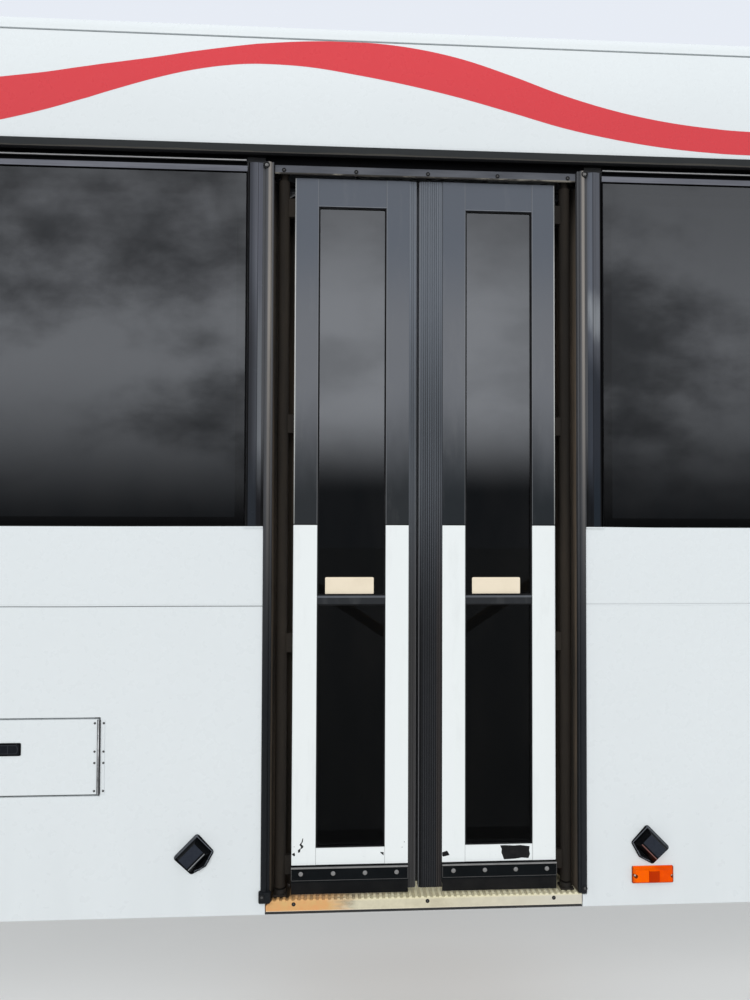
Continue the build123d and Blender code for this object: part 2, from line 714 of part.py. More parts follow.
def drive_rod(side):
    """Rod from the shaft's lever to the crank."""
    start = lever_end(side * SHAFT_X, SHAFT_DEPTH, side)
    end = lever_end(side * CRANK_X, CRANK_DEPTH, side)
    with BuildPart() as piece:
        with BuildSketch(Plane.XY.offset(ROD_Z[0])):
            link(start, end, ROD_HALF_WIDTH)
            with Locations(start, end):
                Circle(EYE_RADIUS)
            with Locations(start, end):
                Circle(EYE_PIN + RUNNING, mode=Mode.SUBTRACT)
        extrude(amount=ROD_Z[1] - ROD_Z[0])
    return piece


NOSE_ROUND = 8
NOSE_SLOTS = (-40, -34)
SLOT_WIDE = 1.6
SLOT_DEEP = 2
NECK_WIDE = 8.4
NOSE_LIP = (LEAF_BACK + 0.5, LEAF_BACK + 4.5)
NOSE_LIP_END = -8
GUARD_ROUND = 5
GUARD_PITCH = 6
GUARD_RIB = 3
GUARD_RIBS = 9
GUARD_PROUD = 1.5


def left_nose():
    """Rounded, grooved nose, with a lip that reaches behind the right leaf's guard."""
    with BuildPart() as piece:
        with BuildSketch(Plane.XY.offset(NOSE_LOW)) as outline:
            patch(-LEAF_TIP, NOSE_GAP[0], NOSE_FRONT - WALL, NOSE_BACK - WALL)
            fillet(outline.vertices().group_by(Axis.X)[-1], NOSE_ROUND)
            for x in NOSE_SLOTS:
                with Locations((x, NOSE_FRONT - WALL)):
                    Rectangle(SLOT_WIDE, 2 * SLOT_DEEP, mode=Mode.SUBTRACT)
            patch(-LEAF_TIP, NECK_WIDE - LEAF_TIP, NOSE_BACK - WALL, NOSE_LIP[1] - WALL)
            patch(-LEAF_TIP, NOSE_LIP_END, NOSE_LIP[0] - WALL, NOSE_LIP[1] - WALL)
        extrude(amount=LEAF_HIGH - NOSE_LOW)
    return piece


def right_guard():
    """Wide finger guard with ribs up its front."""
    with BuildPart() as piece:
        with BuildSketch(Plane.XY.offset(NOSE_LOW)) as outline:
            patch(NOSE_GAP[1], LEAF_TIP, NOSE_FRONT - WALL, NOSE_BACK - WALL)
            fillet(outline.vertices().group_by(Axis.X)[0], GUARD_ROUND)
            with Locations(((NOSE_GAP[1] + LEAF_TIP) / 2, NOSE_FRONT - WALL)):
                with GridLocations(GUARD_PITCH, 0, GUARD_RIBS, 1):
                    Rectangle(GUARD_RIB, 2 * GUARD_PROUD)
        extrude(amount=LEAF_HIGH - NOSE_LOW)
    return piece


def leaf_x(side):
    """Both edges of a leaf."""
    return sorted((side * LEAF_EDGE, side * LEAF_TIP))


def leaf_sweep(side):
    """Rubber sweep on the leaf's low edge."""
    outline = (*leaf_x(side), SWEEP_LOW, SWEEP_HIGH)
    return panels([outline], LEAF_FRONT - SWEEP_THICK, LEAF_FRONT)


def sweep_strip(side):
    """Strip that clamps the sweep."""
    front = LEAF_FRONT - SWEEP_THICK - STRIP_THICK
    return panels([(*leaf_x(side), *STRIP)], front, front + STRIP_THICK)


GRAB_RADIUS = 14
GRAB_DEPTH = LEAF_BACK + 41
GRAB_Z = (882, 716)  # at the outer and the leading upright
GRAB_OVERHANG = 1.08
STUB_RADIUS = 11
FOOT_FLANGE = (24, 4)  # radius and thickness


def grab_rail(side):
    """Slanted grab rail across the inside of a leaf, on a flanged stub at each upright."""
    outer, _, leading = leaf_spans(side)
    ends = [
        Vector(sum(span) / 2, GRAB_DEPTH - WALL, z)
        for span, z in zip((outer, leading), GRAB_Z)
    ]
    reach = (ends[1] - ends[0]) * GRAB_OVERHANG
    start = (ends[0] + ends[1]) / 2 - reach / 2
    foot_places = [(end.X, end.Z) for end in ends]
    with BuildPart() as piece:
        with BuildSketch(Plane(origin=start, z_dir=reach)):
            Circle(GRAB_RADIUS)
        extrude(amount=reach.length)
        for radius, amount in ((STUB_RADIUS, GRAB_DEPTH - LEAF_BACK), FOOT_FLANGE):
            with BuildSketch(side_plane(LEAF_BACK)):
                with Locations(*foot_places):
                    Circle(radius)
            extrude(amount=-amount)
    return piece


for side, name in ((-1, "left"), (1, "right")):
    finish(leaf_uprights(side), f"{name}_leaf_uprights")
    finish(leaf_rails(side), f"{name}_leaf_rails")
    finish(leaf_glass(side), f"{name}_leaf_glass")
    finish(leaf_glazing(side), f"{name}_leaf_glazing")
    finish(leaf_sweep(side), f"{name}_leaf_sweep")
    finish(sweep_strip(side), f"{name}_sweep_strip")
    finish(grab_rail(side), f"{name}_grab_rail")
    finish(door_shaft(side), f"{name}_door_shaft")
    finish(drive_crank(side), f"{name}_drive_crank")
    finish(drive_rod(side), f"{name}_drive_rod")
finish(left_nose(), "left_leaf_nose_rubber")
finish(right_guard(), "right_leaf_nose_rubber")

# Operator behind the header: gearbox with bores for the cranks, and its motor
OPERATOR_HALF = 190
OPERATOR_BACK = POST_BACK + 95
OPERATOR_HIGH = OPERATOR_LOW + 80
OPERATOR_ROUND = 10
CRANK_BORE = 20
MOTOR_DEPTH = POST_BACK + 50
MOTOR_RADIUS = 36
MOTOR_LONG = 210
with BuildPart() as door_operator:
    with BuildSketch(Plane.XY.offset(OPERATOR_LOW)):
        patch(-OPERATOR_HALF, OPERATOR_HALF, POST_BACK - WALL, OPERATOR_BACK - WALL)
    extrude(amount=OPERATOR_HIGH - OPERATOR_LOW)
    fillet(door_operator.edges().filter_by(Axis.Z), OPERATOR_ROUND)
    with BuildSketch(Plane.XY.offset(OPERATOR_LOW)):
        with Locations(*[(side * CRANK_X, CRANK_DEPTH - WALL) for side in (-1, 1)]):
            Circle(PIN_RADIUS + RUNNING)
    extrude(amount=CRANK_BORE, mode=Mode.SUBTRACT)
    with BuildSketch(Plane.YZ.offset(OPERATOR_HALF)):
        with Locations((MOTOR_DEPTH - WALL, (OPERATOR_LOW + OPERATOR_HIGH) / 2)):
            Circle(MOTOR_RADIUS)
    extrude(amount=MOTOR_LONG)
finish(door_operator, "door_operator")

# Housing over the operator, open towards the header, with a hinged cover inboard and a lip
# that reaches over the tops of the leaves
HOUSING_HALF = 600
HOUSING_BACK = POST_BACK + 190
HOUSING_HIGH = HOUSING_LOW + 270
HOUSING_LIP = (REVEAL_BACK[0] - 2, LEAF_BACK + 12)
SHEET = 3
COVER_X = 560
COVER_Z = (HOUSING_LOW + 25, HOUSING_HIGH - 35)
COVER_GAP = 5
COVER_HINGE_Z = COVER_Z[1] + COVER_GAP / 2
COVER_HINGE_RADIUS = 5
COVER_PIN_RADIUS = 2.5
COVER_LEAF = 22
with BuildPart() as operator_housing:
    with BuildSketch(Plane.XY.offset(HOUSING_LOW)):
        patch(-HOUSING_HALF, HOUSING_HALF, POST_BACK - WALL, HOUSING_BACK - WALL)
    extrude(amount=HOUSING_HIGH - HOUSING_LOW)
    with BuildSketch(Plane.XY.offset(HOUSING_LOW + SHEET)):
        patch(
            -HOUSING_HALF + SHEET,
            HOUSING_HALF - SHEET,
            POST_BACK - WALL,
            HOUSING_BACK - SHEET - WALL,
        )
    extrude(amount=HOUSING_HIGH - HOUSING_LOW - 2 * SHEET, mode=Mode.SUBTRACT)
    with BuildSketch(side_plane(HOUSING_BACK)):
        patch(
            -COVER_X - COVER_GAP,
            COVER_X + COVER_GAP,
            COVER_Z[0] - COVER_GAP,
            COVER_Z[1] + COVER_GAP,
        )
    extrude(amount=SHEET, mode=Mode.SUBTRACT)
    with BuildSketch(Plane.XY.offset(HOUSING_LOW)):
        patch(-HOUSING_LIP[0], HOUSING_LIP[0], HOUSING_LIP[1] - WALL, POST_BACK - WALL)
    extrude(amount=SHEET)
finish(operator_housing, "operator_housing")

# Hinges: split barrels, whose knuckles belong by turns to the fixed leaf and the moving one
KNUCKLE_GAP = 0.5
HINGE_SHEET = 1.5
KNUCKLES = 5


def knuckles(start, end, first):
    """Every second knuckle of a hinge, as spans."""
    pitch = (end - start) / KNUCKLES
    return [
        (start + n * pitch + KNUCKLE_GAP, start + (n + 1) * pitch - KNUCKLE_GAP)
        for n in range(first, KNUCKLES, 2)
    ]


FLAP_HINGE_X = FLAP_X[1] + FLAP_GAP / 2
FLAP_HINGE_OUT = 4
FLAP_HINGE_RADIUS = 3.5
FLAP_PIN_RADIUS = 1.5
FLAP_HINGE_Z = (FLAP_Z[0] + 1, FLAP_Z[1] - 1)
HINGE_LEAF_WIDE = 14
WEB_REACH = 5


def flap_hinge(first, side):
    """One leaf of the flap's piano hinge; side says which way it reaches from the pin."""
    clear = FLAP_HINGE_RADIUS + KNUCKLE_GAP
    leaf = sorted((FLAP_HINGE_X + side * clear, FLAP_HINGE_X + side * HINGE_LEAF_WIDE))
    web = sorted((FLAP_HINGE_X, FLAP_HINGE_X + side * WEB_REACH))
    pin_radius = FLAP_PIN_RADIUS if side > 0 else FLAP_PIN_RADIUS + RUNNING
    with BuildPart() as piece:
        with BuildSketch(side_plane(0)):
            patch(*leaf, *FLAP_HINGE_Z)
        extrude(amount=HINGE_SHEET)
        for low, high in knuckles(*FLAP_HINGE_Z, first):
            with BuildSketch(Plane.XY.offset(low)):
                with Locations((FLAP_HINGE_X, -WALL - FLAP_HINGE_OUT)):
                    Circle(FLAP_HINGE_RADIUS)
                patch(*web, -WALL - HINGE_SHEET, -WALL)
            extrude(amount=high - low)
        with BuildSketch(Plane.XY.offset(FLAP_HINGE_Z[0])):
            with Locations((FLAP_HINGE_X, -WALL - FLAP_HINGE_OUT)):
                Circle(pin_radius)
        extrude(
            amount=FLAP_HINGE_Z[1] - FLAP_HINGE_Z[0],
            mode=Mode.ADD if side > 0 else Mode.SUBTRACT,
        )
    return piece


def cover_knuckles(first, side):
    """Every second knuckle with its leaf; side is 1 for the fixed leaf above the pin."""
    face = HOUSING_BACK - WALL
    axis_y = face + COVER_HINGE_RADIUS + HINGE_SHEET
    leaf = sorted((COVER_HINGE_Z, COVER_HINGE_Z + side * COVER_LEAF))
    web = sorted((COVER_HINGE_Z, COVER_HINGE_Z + side * COVER_HINGE_RADIUS))
    for low, high in knuckles(-COVER_X, COVER_X, first):
        with BuildSketch(Plane.YZ.offset(low)) as knuckle:
            with Locations((axis_y, COVER_HINGE_Z)):
                Circle(COVER_HINGE_RADIUS)
            patch(face, face + HINGE_SHEET, *leaf)
            patch(face, axis_y, *web)
        extrude(knuckle.sketch, amount=high - low)
    radius = COVER_PIN_RADIUS if side > 0 else COVER_PIN_RADIUS + RUNNING
    with BuildSketch(Plane.YZ.offset(-COVER_X)) as pin:
        with Locations((axis_y, COVER_HINGE_Z)):
            Circle(radius)
    extrude(pin.sketch, amount=2 * COVER_X, mode=Mode.ADD if side > 0 else Mode.SUBTRACT)


with BuildPart() as cover_hinge:
    cover_knuckles(0, 1)
finish(cover_hinge, "cover_hinge")
with BuildPart() as operator_cover:
    with BuildSketch(side_plane(HOUSING_BACK)):
        patch(-COVER_X, COVER_X, *COVER_Z)
    extrude(amount=SHEET)
    cover_knuckles(1, -1)
finish(operator_cover, "operator_cover")
finish(flap_hinge(0, 1), "flap_hinge_fixed")
finish(flap_hinge(1, -1), "flap_hinge_moving")

# Access flap, with a latch let into it: a bezel round a recessed paddle
LATCH_X = (-1148, -1058)
LATCH_Z = (436, 469)
LATCH_DEEP = 6
LATCH_PROUD = 2
BEZEL = 4
PADDLE_GAP = 1.5
PADDLE_DEEP = 4


def latch_outline(inset, mode=Mode.ADD):
    """Outline of the latch, square at its left end and round at its right end."""
    radius = (LATCH_Z[1] - LATCH_Z[0]) / 2
    centre = (LATCH_X[1] - radius, LATCH_Z[0] + radius)
    patch(LATCH_X[0] + inset, centre[0], LATCH_Z[0] + inset, LATCH_Z[1] - inset, mode)
    with Locations(centre):
        Circle(radius - inset, mode=mode)


with BuildPart() as access_flap:
    with BuildSketch(side_plane(SKIN)):
        patch(*FLAP_X, *FLAP_Z)
    extrude(amount=SKIN)
    with BuildSketch(side_plane(0)):
        latch_outline(0)
    extrude(amount=-LATCH_DEEP, mode=Mode.SUBTRACT)
finish(access_flap, "access_flap")
with BuildPart() as flap_latch:
    with BuildSketch(side_plane(LATCH_DEEP)):
        latch_outline(0)
    extrude(amount=LATCH_DEEP + LATCH_PROUD)
    with BuildSketch(side_plane(-LATCH_PROUD)):
        latch_outline(BEZEL)
        latch_outline(BEZEL + PADDLE_GAP, Mode.SUBTRACT)
    extrude(amount=-PADDLE_DEEP, mode=Mode.SUBTRACT)
finish(flap_latch, "flap_latch")

# Step lamps low on both sides of the door: a pointed flange turned 45 degrees, with a hood and
# a lens under it. Their sizes run from the lamp's middle towards the door and down.
LAMP_X = 607
LAMP_Z = 169.7
LAMP_BACK = (-39, 44.5)
LAMP_SIDE = (26.3, 41.6)
LAMP_POINT = 38.7
LAMP_ROUND = 8
LAMP_PLATE = 3.5
HOOD_FOOT = (-33, 22, -36, 36)
HOOD_TOP = (-27.5, 10, -29, 29)
HOOD_OUT = 24
LENS = (23, 33, -18, 18)
LENS_OUT = 5
DIAGONAL = cos(radians(45))


def lamp_plane(side, out):
    """Plane of a step lamp at a height off the skin."""
    return Plane(
        origin=(side * LAMP_X, -WALL - out, LAMP_Z),
        x_dir=(-side * DIAGONAL, 0, -DIAGONAL),
        z_dir=(0, -1, 0),
    )


with BuildPart() as step_lamps:
    for side in (-1, 1):
        with BuildSketch(lamp_plane(side, 0)) as flange:
            with BuildLine():
                Polyline(
                    (LAMP_BACK[0], -LAMP_BACK[1]),
                    (LAMP_SIDE[0], -LAMP_SIDE[1]),
                    (LAMP_POINT, 0),
                    LAMP_SIDE,
                    LAMP_BACK,
                    close=True,
                )
            make_face()
            fillet(flange.vertices(), LAMP_ROUND)
        extrude(amount=LAMP_PLATE)
        with BuildSketch(lamp_plane(side, LAMP_PLATE)):
            patch(*HOOD_FOOT)
        with BuildSketch(lamp_plane(side, HOOD_OUT)):
            patch(*HOOD_TOP)
        loft(ruled=True)
        with BuildSketch(lamp_plane(side, LAMP_PLATE)):
            patch(*LENS)
        extrude(amount=LENS_OUT)
finish(step_lamps, "step_lamps")

# Side marker lamp: base, tapered lens, raised middle and a screw pocket at each end
MARKER = (618, 94)
MARKER_SIZE = (114, 45)
MARKER_BASE = 3
MARKER_LENS = (108, 39)
LENS_DEEP = 10
LENS_TAPER = 20
MARKER_MIDDLE = (26, 30)
MIDDLE_DEEP = 12
SCREW_SPREAD = 100
POCKET_RADIUS = 4.5
POCKET_FLOOR = 5
MARKER_ROUND = 3
with BuildPart() as side_marker_lamp:
    with BuildSketch(side_plane(0)):
        with Locations(MARKER):
            RectangleRounded(*MARKER_SIZE, MARKER_ROUND)
    extrude(amount=MARKER_BASE)
    with BuildSketch(side_plane(-MARKER_BASE)):
        with Locations(MARKER):
            Rectangle(*MARKER_LENS)
    extrude(amount=LENS_DEEP, taper=LENS_TAPER)
    with BuildSketch(side_plane(-MARKER_BASE)):
        with Locations(MARKER):
            Rectangle(*MARKER_MIDDLE)
    extrude(amount=MIDDLE_DEEP)
    with BuildSketch(side_plane(-POCKET_FLOOR)):
        with Locations(MARKER):
            with GridLocations(SCREW_SPREAD, 0, 2, 1):
                Circle(POCKET_RADIUS)
    extrude(amount=MIDDLE_DEEP, mode=Mode.SUBTRACT)
finish(side_marker_lamp, "side_marker_lamp")

# Inner linings, from the posts' inboard faces
LINING = 4
SURROUND = 6
LINING_TOP = WAIST_RAIL[1]
low_outlines = [
    (*span, TREAD_TOP, LINING_TOP - 1) for span in mirrored([(PANEL_EDGE, HALF_LENGTH)])
]
finish(panels(low_outlines, POST_BACK, POST_BACK + LINING), "low_linings")
with BuildPart() as window_surrounds:
    with BuildSketch(side_plane(POST_BACK)):
        for low, high in BOTH_BAYS:
            patch(low, high, LINING_TOP, CANT_LOW)
            patch(
                low + SURROUND,
                high - SURROUND,
                LINING_TOP + SURROUND,
                CANT_LOW - SURROUND,
                Mode.SUBTRACT,
            )
    extrude(amount=POST_BACK - SKIN)
finish(window_surrounds, "window_surrounds")
high_outlines = [
    (*span, CANT_LOW, POST_TOP) for span in mirrored([(HOUSING_HALF + 5, HALF_LENGTH)])
]
finish(panels(high_outlines, POST_BACK, POST_BACK + LINING), "high_linings")
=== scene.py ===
"""Bus bodyside section with a two-leaf exit door: finishes, small pieces, light and camera."""

import math
import random

import bmesh
import bpy
from mathutils import Matrix, Vector


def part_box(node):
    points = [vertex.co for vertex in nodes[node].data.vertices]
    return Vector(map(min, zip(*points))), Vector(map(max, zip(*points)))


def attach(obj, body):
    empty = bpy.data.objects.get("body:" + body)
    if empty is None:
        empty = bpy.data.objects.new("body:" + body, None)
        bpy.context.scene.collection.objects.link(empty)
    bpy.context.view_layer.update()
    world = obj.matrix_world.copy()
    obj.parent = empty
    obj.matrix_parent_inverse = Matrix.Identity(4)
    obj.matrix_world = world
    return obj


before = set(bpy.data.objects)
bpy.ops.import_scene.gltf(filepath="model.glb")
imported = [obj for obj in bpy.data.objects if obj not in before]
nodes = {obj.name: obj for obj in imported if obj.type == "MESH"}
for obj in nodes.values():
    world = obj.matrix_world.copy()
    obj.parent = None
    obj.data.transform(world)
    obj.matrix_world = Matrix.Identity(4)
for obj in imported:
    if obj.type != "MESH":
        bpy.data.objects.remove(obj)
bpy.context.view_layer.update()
random.seed(7)

# Places that several pieces share, in metres
SKIN_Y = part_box("waist_panels")[0].y
WAIST_Z = 1.037
HINGE_X = -0.8585
GROUND_Z = -0.33


# Camera: the photograph's own place, direction and lens
CAMERA_PLACE = (-0.2454, -2.0556, 1.060)
CAMERA_YAW = math.radians(3.139)
CAMERA_PITCH = math.radians(1.328)
CAMERA_ROLL = math.radians(0.206)
FOCAL_PIXELS = 722.0
LONG_SIDE_PIXELS = 1000
SENSOR = 36.0


def make_camera():
    forward = Vector(
        (
            math.sin(CAMERA_YAW) * math.cos(CAMERA_PITCH),
            math.cos(CAMERA_YAW) * math.cos(CAMERA_PITCH),
            math.sin(CAMERA_PITCH),
        )
    )
    level_right = Vector((math.cos(CAMERA_YAW), -math.sin(CAMERA_YAW), 0))
    level_up = level_right.cross(forward)
    right = math.cos(CAMERA_ROLL) * level_right + math.sin(CAMERA_ROLL) * level_up
    up = right.cross(forward)
    data = bpy.data.cameras.new("camera")
    data.sensor_fit = "AUTO"
    data.sensor_width = SENSOR
    data.lens = SENSOR * FOCAL_PIXELS / LONG_SIDE_PIXELS
    data.clip_end = 100
    camera = bpy.data.objects.new("camera", data)
    bpy.context.scene.collection.objects.link(camera)
    turn = Matrix((right, up, -forward)).transposed()
    camera.matrix_world = Matrix.Translation(CAMERA_PLACE) @ turn.to_4x4()
    bpy.context.scene.camera = camera


make_camera()


# Shader building
class Finish:
    """A material with its main shader and short calls for the nodes used here."""

    def __init__(self, name):
        self.material = bpy.data.materials.new(name)
        self.material.use_nodes = True
        self.tree = self.material.node_tree
        self.shader = self.tree.nodes["Principled BSDF"]
        self.place = self.node("ShaderNodeTexCoord").outputs["Object"]
        split = self.node("ShaderNodeSeparateXYZ")
        self.feed(split.inputs[0], self.place)
        self.x, self.y, self.z = split.outputs

    def node(self, kind, **settings):
        made = self.tree.nodes.new(kind)
        for key, value in settings.items():
            setattr(made, key, value)
        return made

    def feed(self, socket, value):
        """Links an output to a socket, or writes a plain value on it."""
        if isinstance(value, bpy.types.NodeSocket):
            self.tree.links.new(value, socket)
        else:
            socket.default_value = value

    def fill(self, made, **values):
        """Feeds a node's sockets by name, with spaces written as underscores."""
        for key, value in values.items():
            self.feed(made.inputs[key.replace("_", " ")], value)

    def set(self, **values):
        """Feeds the main shader's sockets by name."""
        self.fill(self.shader, **values)

    def stretched(self, scale):
        """Object coordinates scaled along each axis."""
        made = self.node("ShaderNodeMapping")
        self.fill(made, Vector=self.place, Scale=scale)
        return made.outputs["Vector"]

    def noise(self, scale, detail=3.0, roughness=0.5, stretch=None, distortion=0.0):
        made = self.node("ShaderNodeTexNoise")
        self.fill(made, Vector=self.stretched(stretch) if stretch else self.place)
        self.fill(made, Scale=scale, Detail=detail, Roughness=roughness, Distortion=distortion)
        return made.outputs["Fac"]

    def span(self, value, low, high, start=0.0, end=1.0, smooth=False):
        """Value mapped from low to high onto start to end, clamped."""
        made = self.node("ShaderNodeMapRange")
        if smooth:
            made.interpolation_type = "SMOOTHSTEP"
        self.fill(made, Value=value, From_Min=low, From_Max=high, To_Min=start, To_Max=end)
        return made.outputs["Result"]

    def math(self, operation, first, second=0.0):
        made = self.node("ShaderNodeMath", operation=operation)
        self.feed(made.inputs[0], first)
        self.feed(made.inputs[1], second)
        return made.outputs[0]

    def mix(self, factor, first, second):
        """Blend of two colours; three plain values are a colour from 0 to 255."""
        made = self.node("ShaderNodeMix", data_type="RGBA")
        self.feed(made.inputs["Factor"], factor)
        for socket, tone in ((made.inputs[6], first), (made.inputs[7], second)):
            plain = isinstance(tone, tuple) and len(tone) == 3
            self.feed(socket, colour(*tone) if plain else tone)
        return made.outputs[2]

    def bump(self, height, distance, strength=1.0, before=None):
        made = self.node("ShaderNodeBump")
        self.fill(made, Height=height, Distance=distance, Strength=strength)
        if before is not None:
            self.fill(made, Normal=before)
        self.set(Normal=made.outputs["Normal"])
        return made.outputs["Normal"]

    def times(self, first, second):
        return self.math("MULTIPLY", first, second)

    def above(self, value, limit):
        """1 where the value is above the limit, 0 elsewhere."""
        return self.math("GREATER_THAN", value, limit)

    def below(self, value, limit):
        """1 where the value is below the limit, 0 elsewhere."""
        return self.math("LESS_THAN", value, limit)

    def between(self, value, low, high):
        """1 where the value lies between low and high, 0 elsewhere."""
        return self.times(self.above(value, low), self.below(value, high))

    def away(self, value, middle):
        """Distance of a value from a middle."""
        return self.math("ABSOLUTE", self.math("SUBTRACT", value, middle))

    def radius(self, across, up):
        """Distance from a point, from the distances along two directions."""
        return self.math("SQRT", self.math("ADD", self.times(across, across), self.times(up, up)))

    def by_side(self, left=0.0, right=1.0):
        """One value left of the doorway's middle and another right of it."""
        return self.span(self.x, -0.1, 0.1, left, right)

    def drifting(self, scale, low, high):
        """Value that drifts slowly between two others."""
        return self.span(self.noise(scale, 4), 0.3, 0.7, low, high)

    def close(self, tone, roughness, specular, grain, **others):
        """Sets the usual sockets, with a drifting roughness and a fine bump, and gives the material."""
        self.set(Base_Color=tone, Roughness=self.drifting(*roughness), **others)
        self.set(Specular_IOR_Level=specular)
        scale, depth = grain
        self.bump(self.noise(scale, 3), depth, 0.5)
        return self.material


def colour(red, green, blue):
    """Linear colour from the 0 to 255 values that it shows as."""

    def linear(value):
        share = value / 255
        return share / 12.92 if share <= 0.04045 else ((share + 0.055) / 1.055) ** 2.4

    return (linear(red), linear(green), linear(blue), 1.0)


# Finishes
WHITE = colour(224, 229, 231)
RED = colour(212, 52, 60)
LEAF_TOP_TONE = (81, 86, 95)
LEAF_MIDDLE_TONE = (99, 101, 106)
LEAF_LOW_TONE = (31, 34, 37)
FADE_LOW = 1.10
FADE_HIGH = 1.45


def coach_paint(name, tone, soiled=0.2):
    """Gloss paint with faint orange peel, a slight wave in the sheet, road dust low down and a painted
    highlight that pales it towards the top of the cove.
    """
    f = Finish(name)
    height = f.span(f.z, 0.0, 0.45, 1.0, 0.0, smooth=True)
    dust = f.times(height, f.span(f.noise(9, 5, 0.6, (1, 1, 0.12)), 0.35, 0.75))
    patches = f.span(f.noise(1.6, 4, 0.55), 0.35, 0.7, 0.0, 0.08)
    soil = f.math("ADD", f.times(dust, soiled), patches)
    grey = tuple(0.78 * c for c in tone[:3]) + (1.0,)
    pale = tuple(min(1.09 * c, 1.0) for c in tone[:3]) + (1.0,)
    # Painted highlight: the paint pales towards the top of the cove.
    lit = f.mix(f.span(f.z, 2.1, 2.36, smooth=True), tone, pale)
    f.set(
        Base_Color=f.mix(soil, lit, grey),
        Roughness=f.span(f.math("ADD", soil, f.span(f.noise(40), 0.3, 0.7, 0, 0.3)), 0, 1, 0.24, 0.5),
        Specular_IOR_Level=0.4,
        Coat_Weight=0.3,
        Coat_Roughness=0.12,
    )
    wave = f.bump(f.noise(2.2, 1.0), 0.004, 0.5)
    f.bump(f.noise(420, 2.0), 0.00004, 0.6, wave)
    return f.material


JOINT_WIDE = 0.0007
GLASS_HIGHLIGHT_WIDE = 0.0019
LEAF_EDGE_HIGHLIGHT = (0.3552, 0.3590)
OUTER_JOINT = 0.2939  # from the middle of the doorway to where the rails meet the uprights
LEADING_JOINT = 0.1089
BAR_LOW = 0.8235
BAR_BEVEL = 0.8411
BAR_HIGH = 0.8478
TOP_RAIL_LOW = 1.9060
SHADOW_LINE_TOP = 0.1297


def door_leaf_paint(name, rails):
    """White below the waist; charcoal above, paler towards the top, with painted highlights along its
    outer edge, round the glass and, on the rails, on the mid bar's top bevel, and a painted shadow line
    along its foot.
    """
    f = Finish(name)
    z = f.z
    uneven = f.span(f.noise(5, 4, 0.6, (1, 1, 0.3)), 0.3, 0.7, -0.05, 0.05)
    height_fade = f.span(f.math("ADD", z, uneven), FADE_LOW, FADE_HIGH, smooth=True)
    low_tone = f.mix(f.span(f.x, -0.05, 0.05), LEAF_LOW_TONE, (22, 27, 31))
    charcoal = f.mix(height_fade, low_tone, LEAF_MIDDLE_TONE)
    charcoal = f.mix(f.span(z, 1.55, 1.85, smooth=True), charcoal, LEAF_TOP_TONE)
    side = f.math("ABSOLUTE", f.x)
    # Painted highlight along the leaf's outer edge, brightest at mid height.
    edge_highlight_strength = f.times(f.span(z, 1.88, 1.75, 0.35, 0.92), f.span(z, 1.05, 1.35, 0.4, 1.0))
    faint = f.span(f.noise(20, 4, 0.6, (1, 1, 0.1)), 0.3, 0.7, 0.15, 0.5)
    charcoal = f.mix(f.times(f.between(side, *LEAF_EDGE_HIGHLIGHT), edge_highlight_strength), charcoal, (206, 207, 204))
    # Painted highlight round the glass, faint and uneven.
    if rails:
        glass_edge_highlight = f.between(z, TOP_RAIL_LOW, TOP_RAIL_LOW + GLASS_HIGHLIGHT_WIDE)
    else:
        glass_edge_highlight = f.math(
            "MAXIMUM",
            f.between(side, OUTER_JOINT, OUTER_JOINT + GLASS_HIGHLIGHT_WIDE),
            f.between(side, LEADING_JOINT - GLASS_HIGHLIGHT_WIDE, LEADING_JOINT),
        )
    charcoal = f.mix(f.times(glass_edge_highlight, faint), charcoal, (150, 152, 155))
    above = f.span(z, WAIST_Z - 0.0004, WAIST_Z + 0.0004)
    tone = f.mix(above, (235, 239, 239), charcoal)
    tone = f.mix(f.between(z, WAIST_Z, WAIST_Z + 0.0035), tone, (12, 13, 14))
    if rails:
        tone = f.mix(f.between(z, BAR_LOW, BAR_HIGH), tone, (34, 36, 39))
        # Painted highlight on the mid bar's top bevel.
        tone = f.mix(f.between(z, BAR_BEVEL, BAR_HIGH), tone, (84, 87, 92))
    joint = f.math(
        "MAXIMUM",
        f.between(side, OUTER_JOINT - JOINT_WIDE, OUTER_JOINT + JOINT_WIDE),
        f.between(side, LEADING_JOINT - JOINT_WIDE, LEADING_JOINT + JOINT_WIDE),
    )
    tone = f.mix(f.times(joint, 0.45), tone, (60, 60, 62))
    rub = f.span(f.noise(26, 6, 0.65, (1, 1, 0.2)), 0.55, 0.85, 0, 0.14)
    specks = f.times(f.span(f.noise(190, 4, 0.7), 0.68, 0.74), f.span(z, 0.3, 0.12, 0, 1))
    tone = f.mix(rub, tone, (140, 140, 140))
    tone = f.mix(f.times(specks, 0.7), tone, (50, 48, 46))
    f.set(
        # Painted shadow line: near black along the leaf's foot, above the sweep rubber.
        Base_Color=f.mix(f.between(z, 0.0, SHADOW_LINE_TOP), tone, (10, 11, 12)),
        Roughness=f.drifting(30, 0.28, 0.42),
        Specular_IOR_Level=0.25,
        Coat_Weight=f.times(height_fade, 0.45),
        Coat_Roughness=0.18,
    )
    wave = f.bump(f.noise(3.0, 1.0), 0.002, 0.4)
    f.bump(f.noise(420, 2.0), 0.00004, 0.6, wave)
    return f.material


def worn(
    name, tone, worn_tone, roughness, grain=60, depth=0.0002, share=0.35, stretch=None,
    specular=0.5, metal=0.0,
):
    """Tone with drifting wear, uneven roughness and a fine bump."""
    f = Finish(name)
    wear = f.span(f.noise(grain / 6, 6, 0.65, stretch), 0.45, 0.8, 0, share)
    f.set(
        Base_Color=f.mix(wear, tone, worn_tone),
        Roughness=f.drifting(grain / 2, roughness - 0.08, roughness + 0.1),
        Specular_IOR_Level=specular,
        Metallic=metal,
    )
    f.bump(f.noise(grain * 8, 3), depth, 0.6)
    return f.material


BEAD_HIGHLIGHTS = (0.4240, 0.4305)  # from the middle, of the left and the right bead
BEAD_RECESSES = (0.4373, 0.4392)


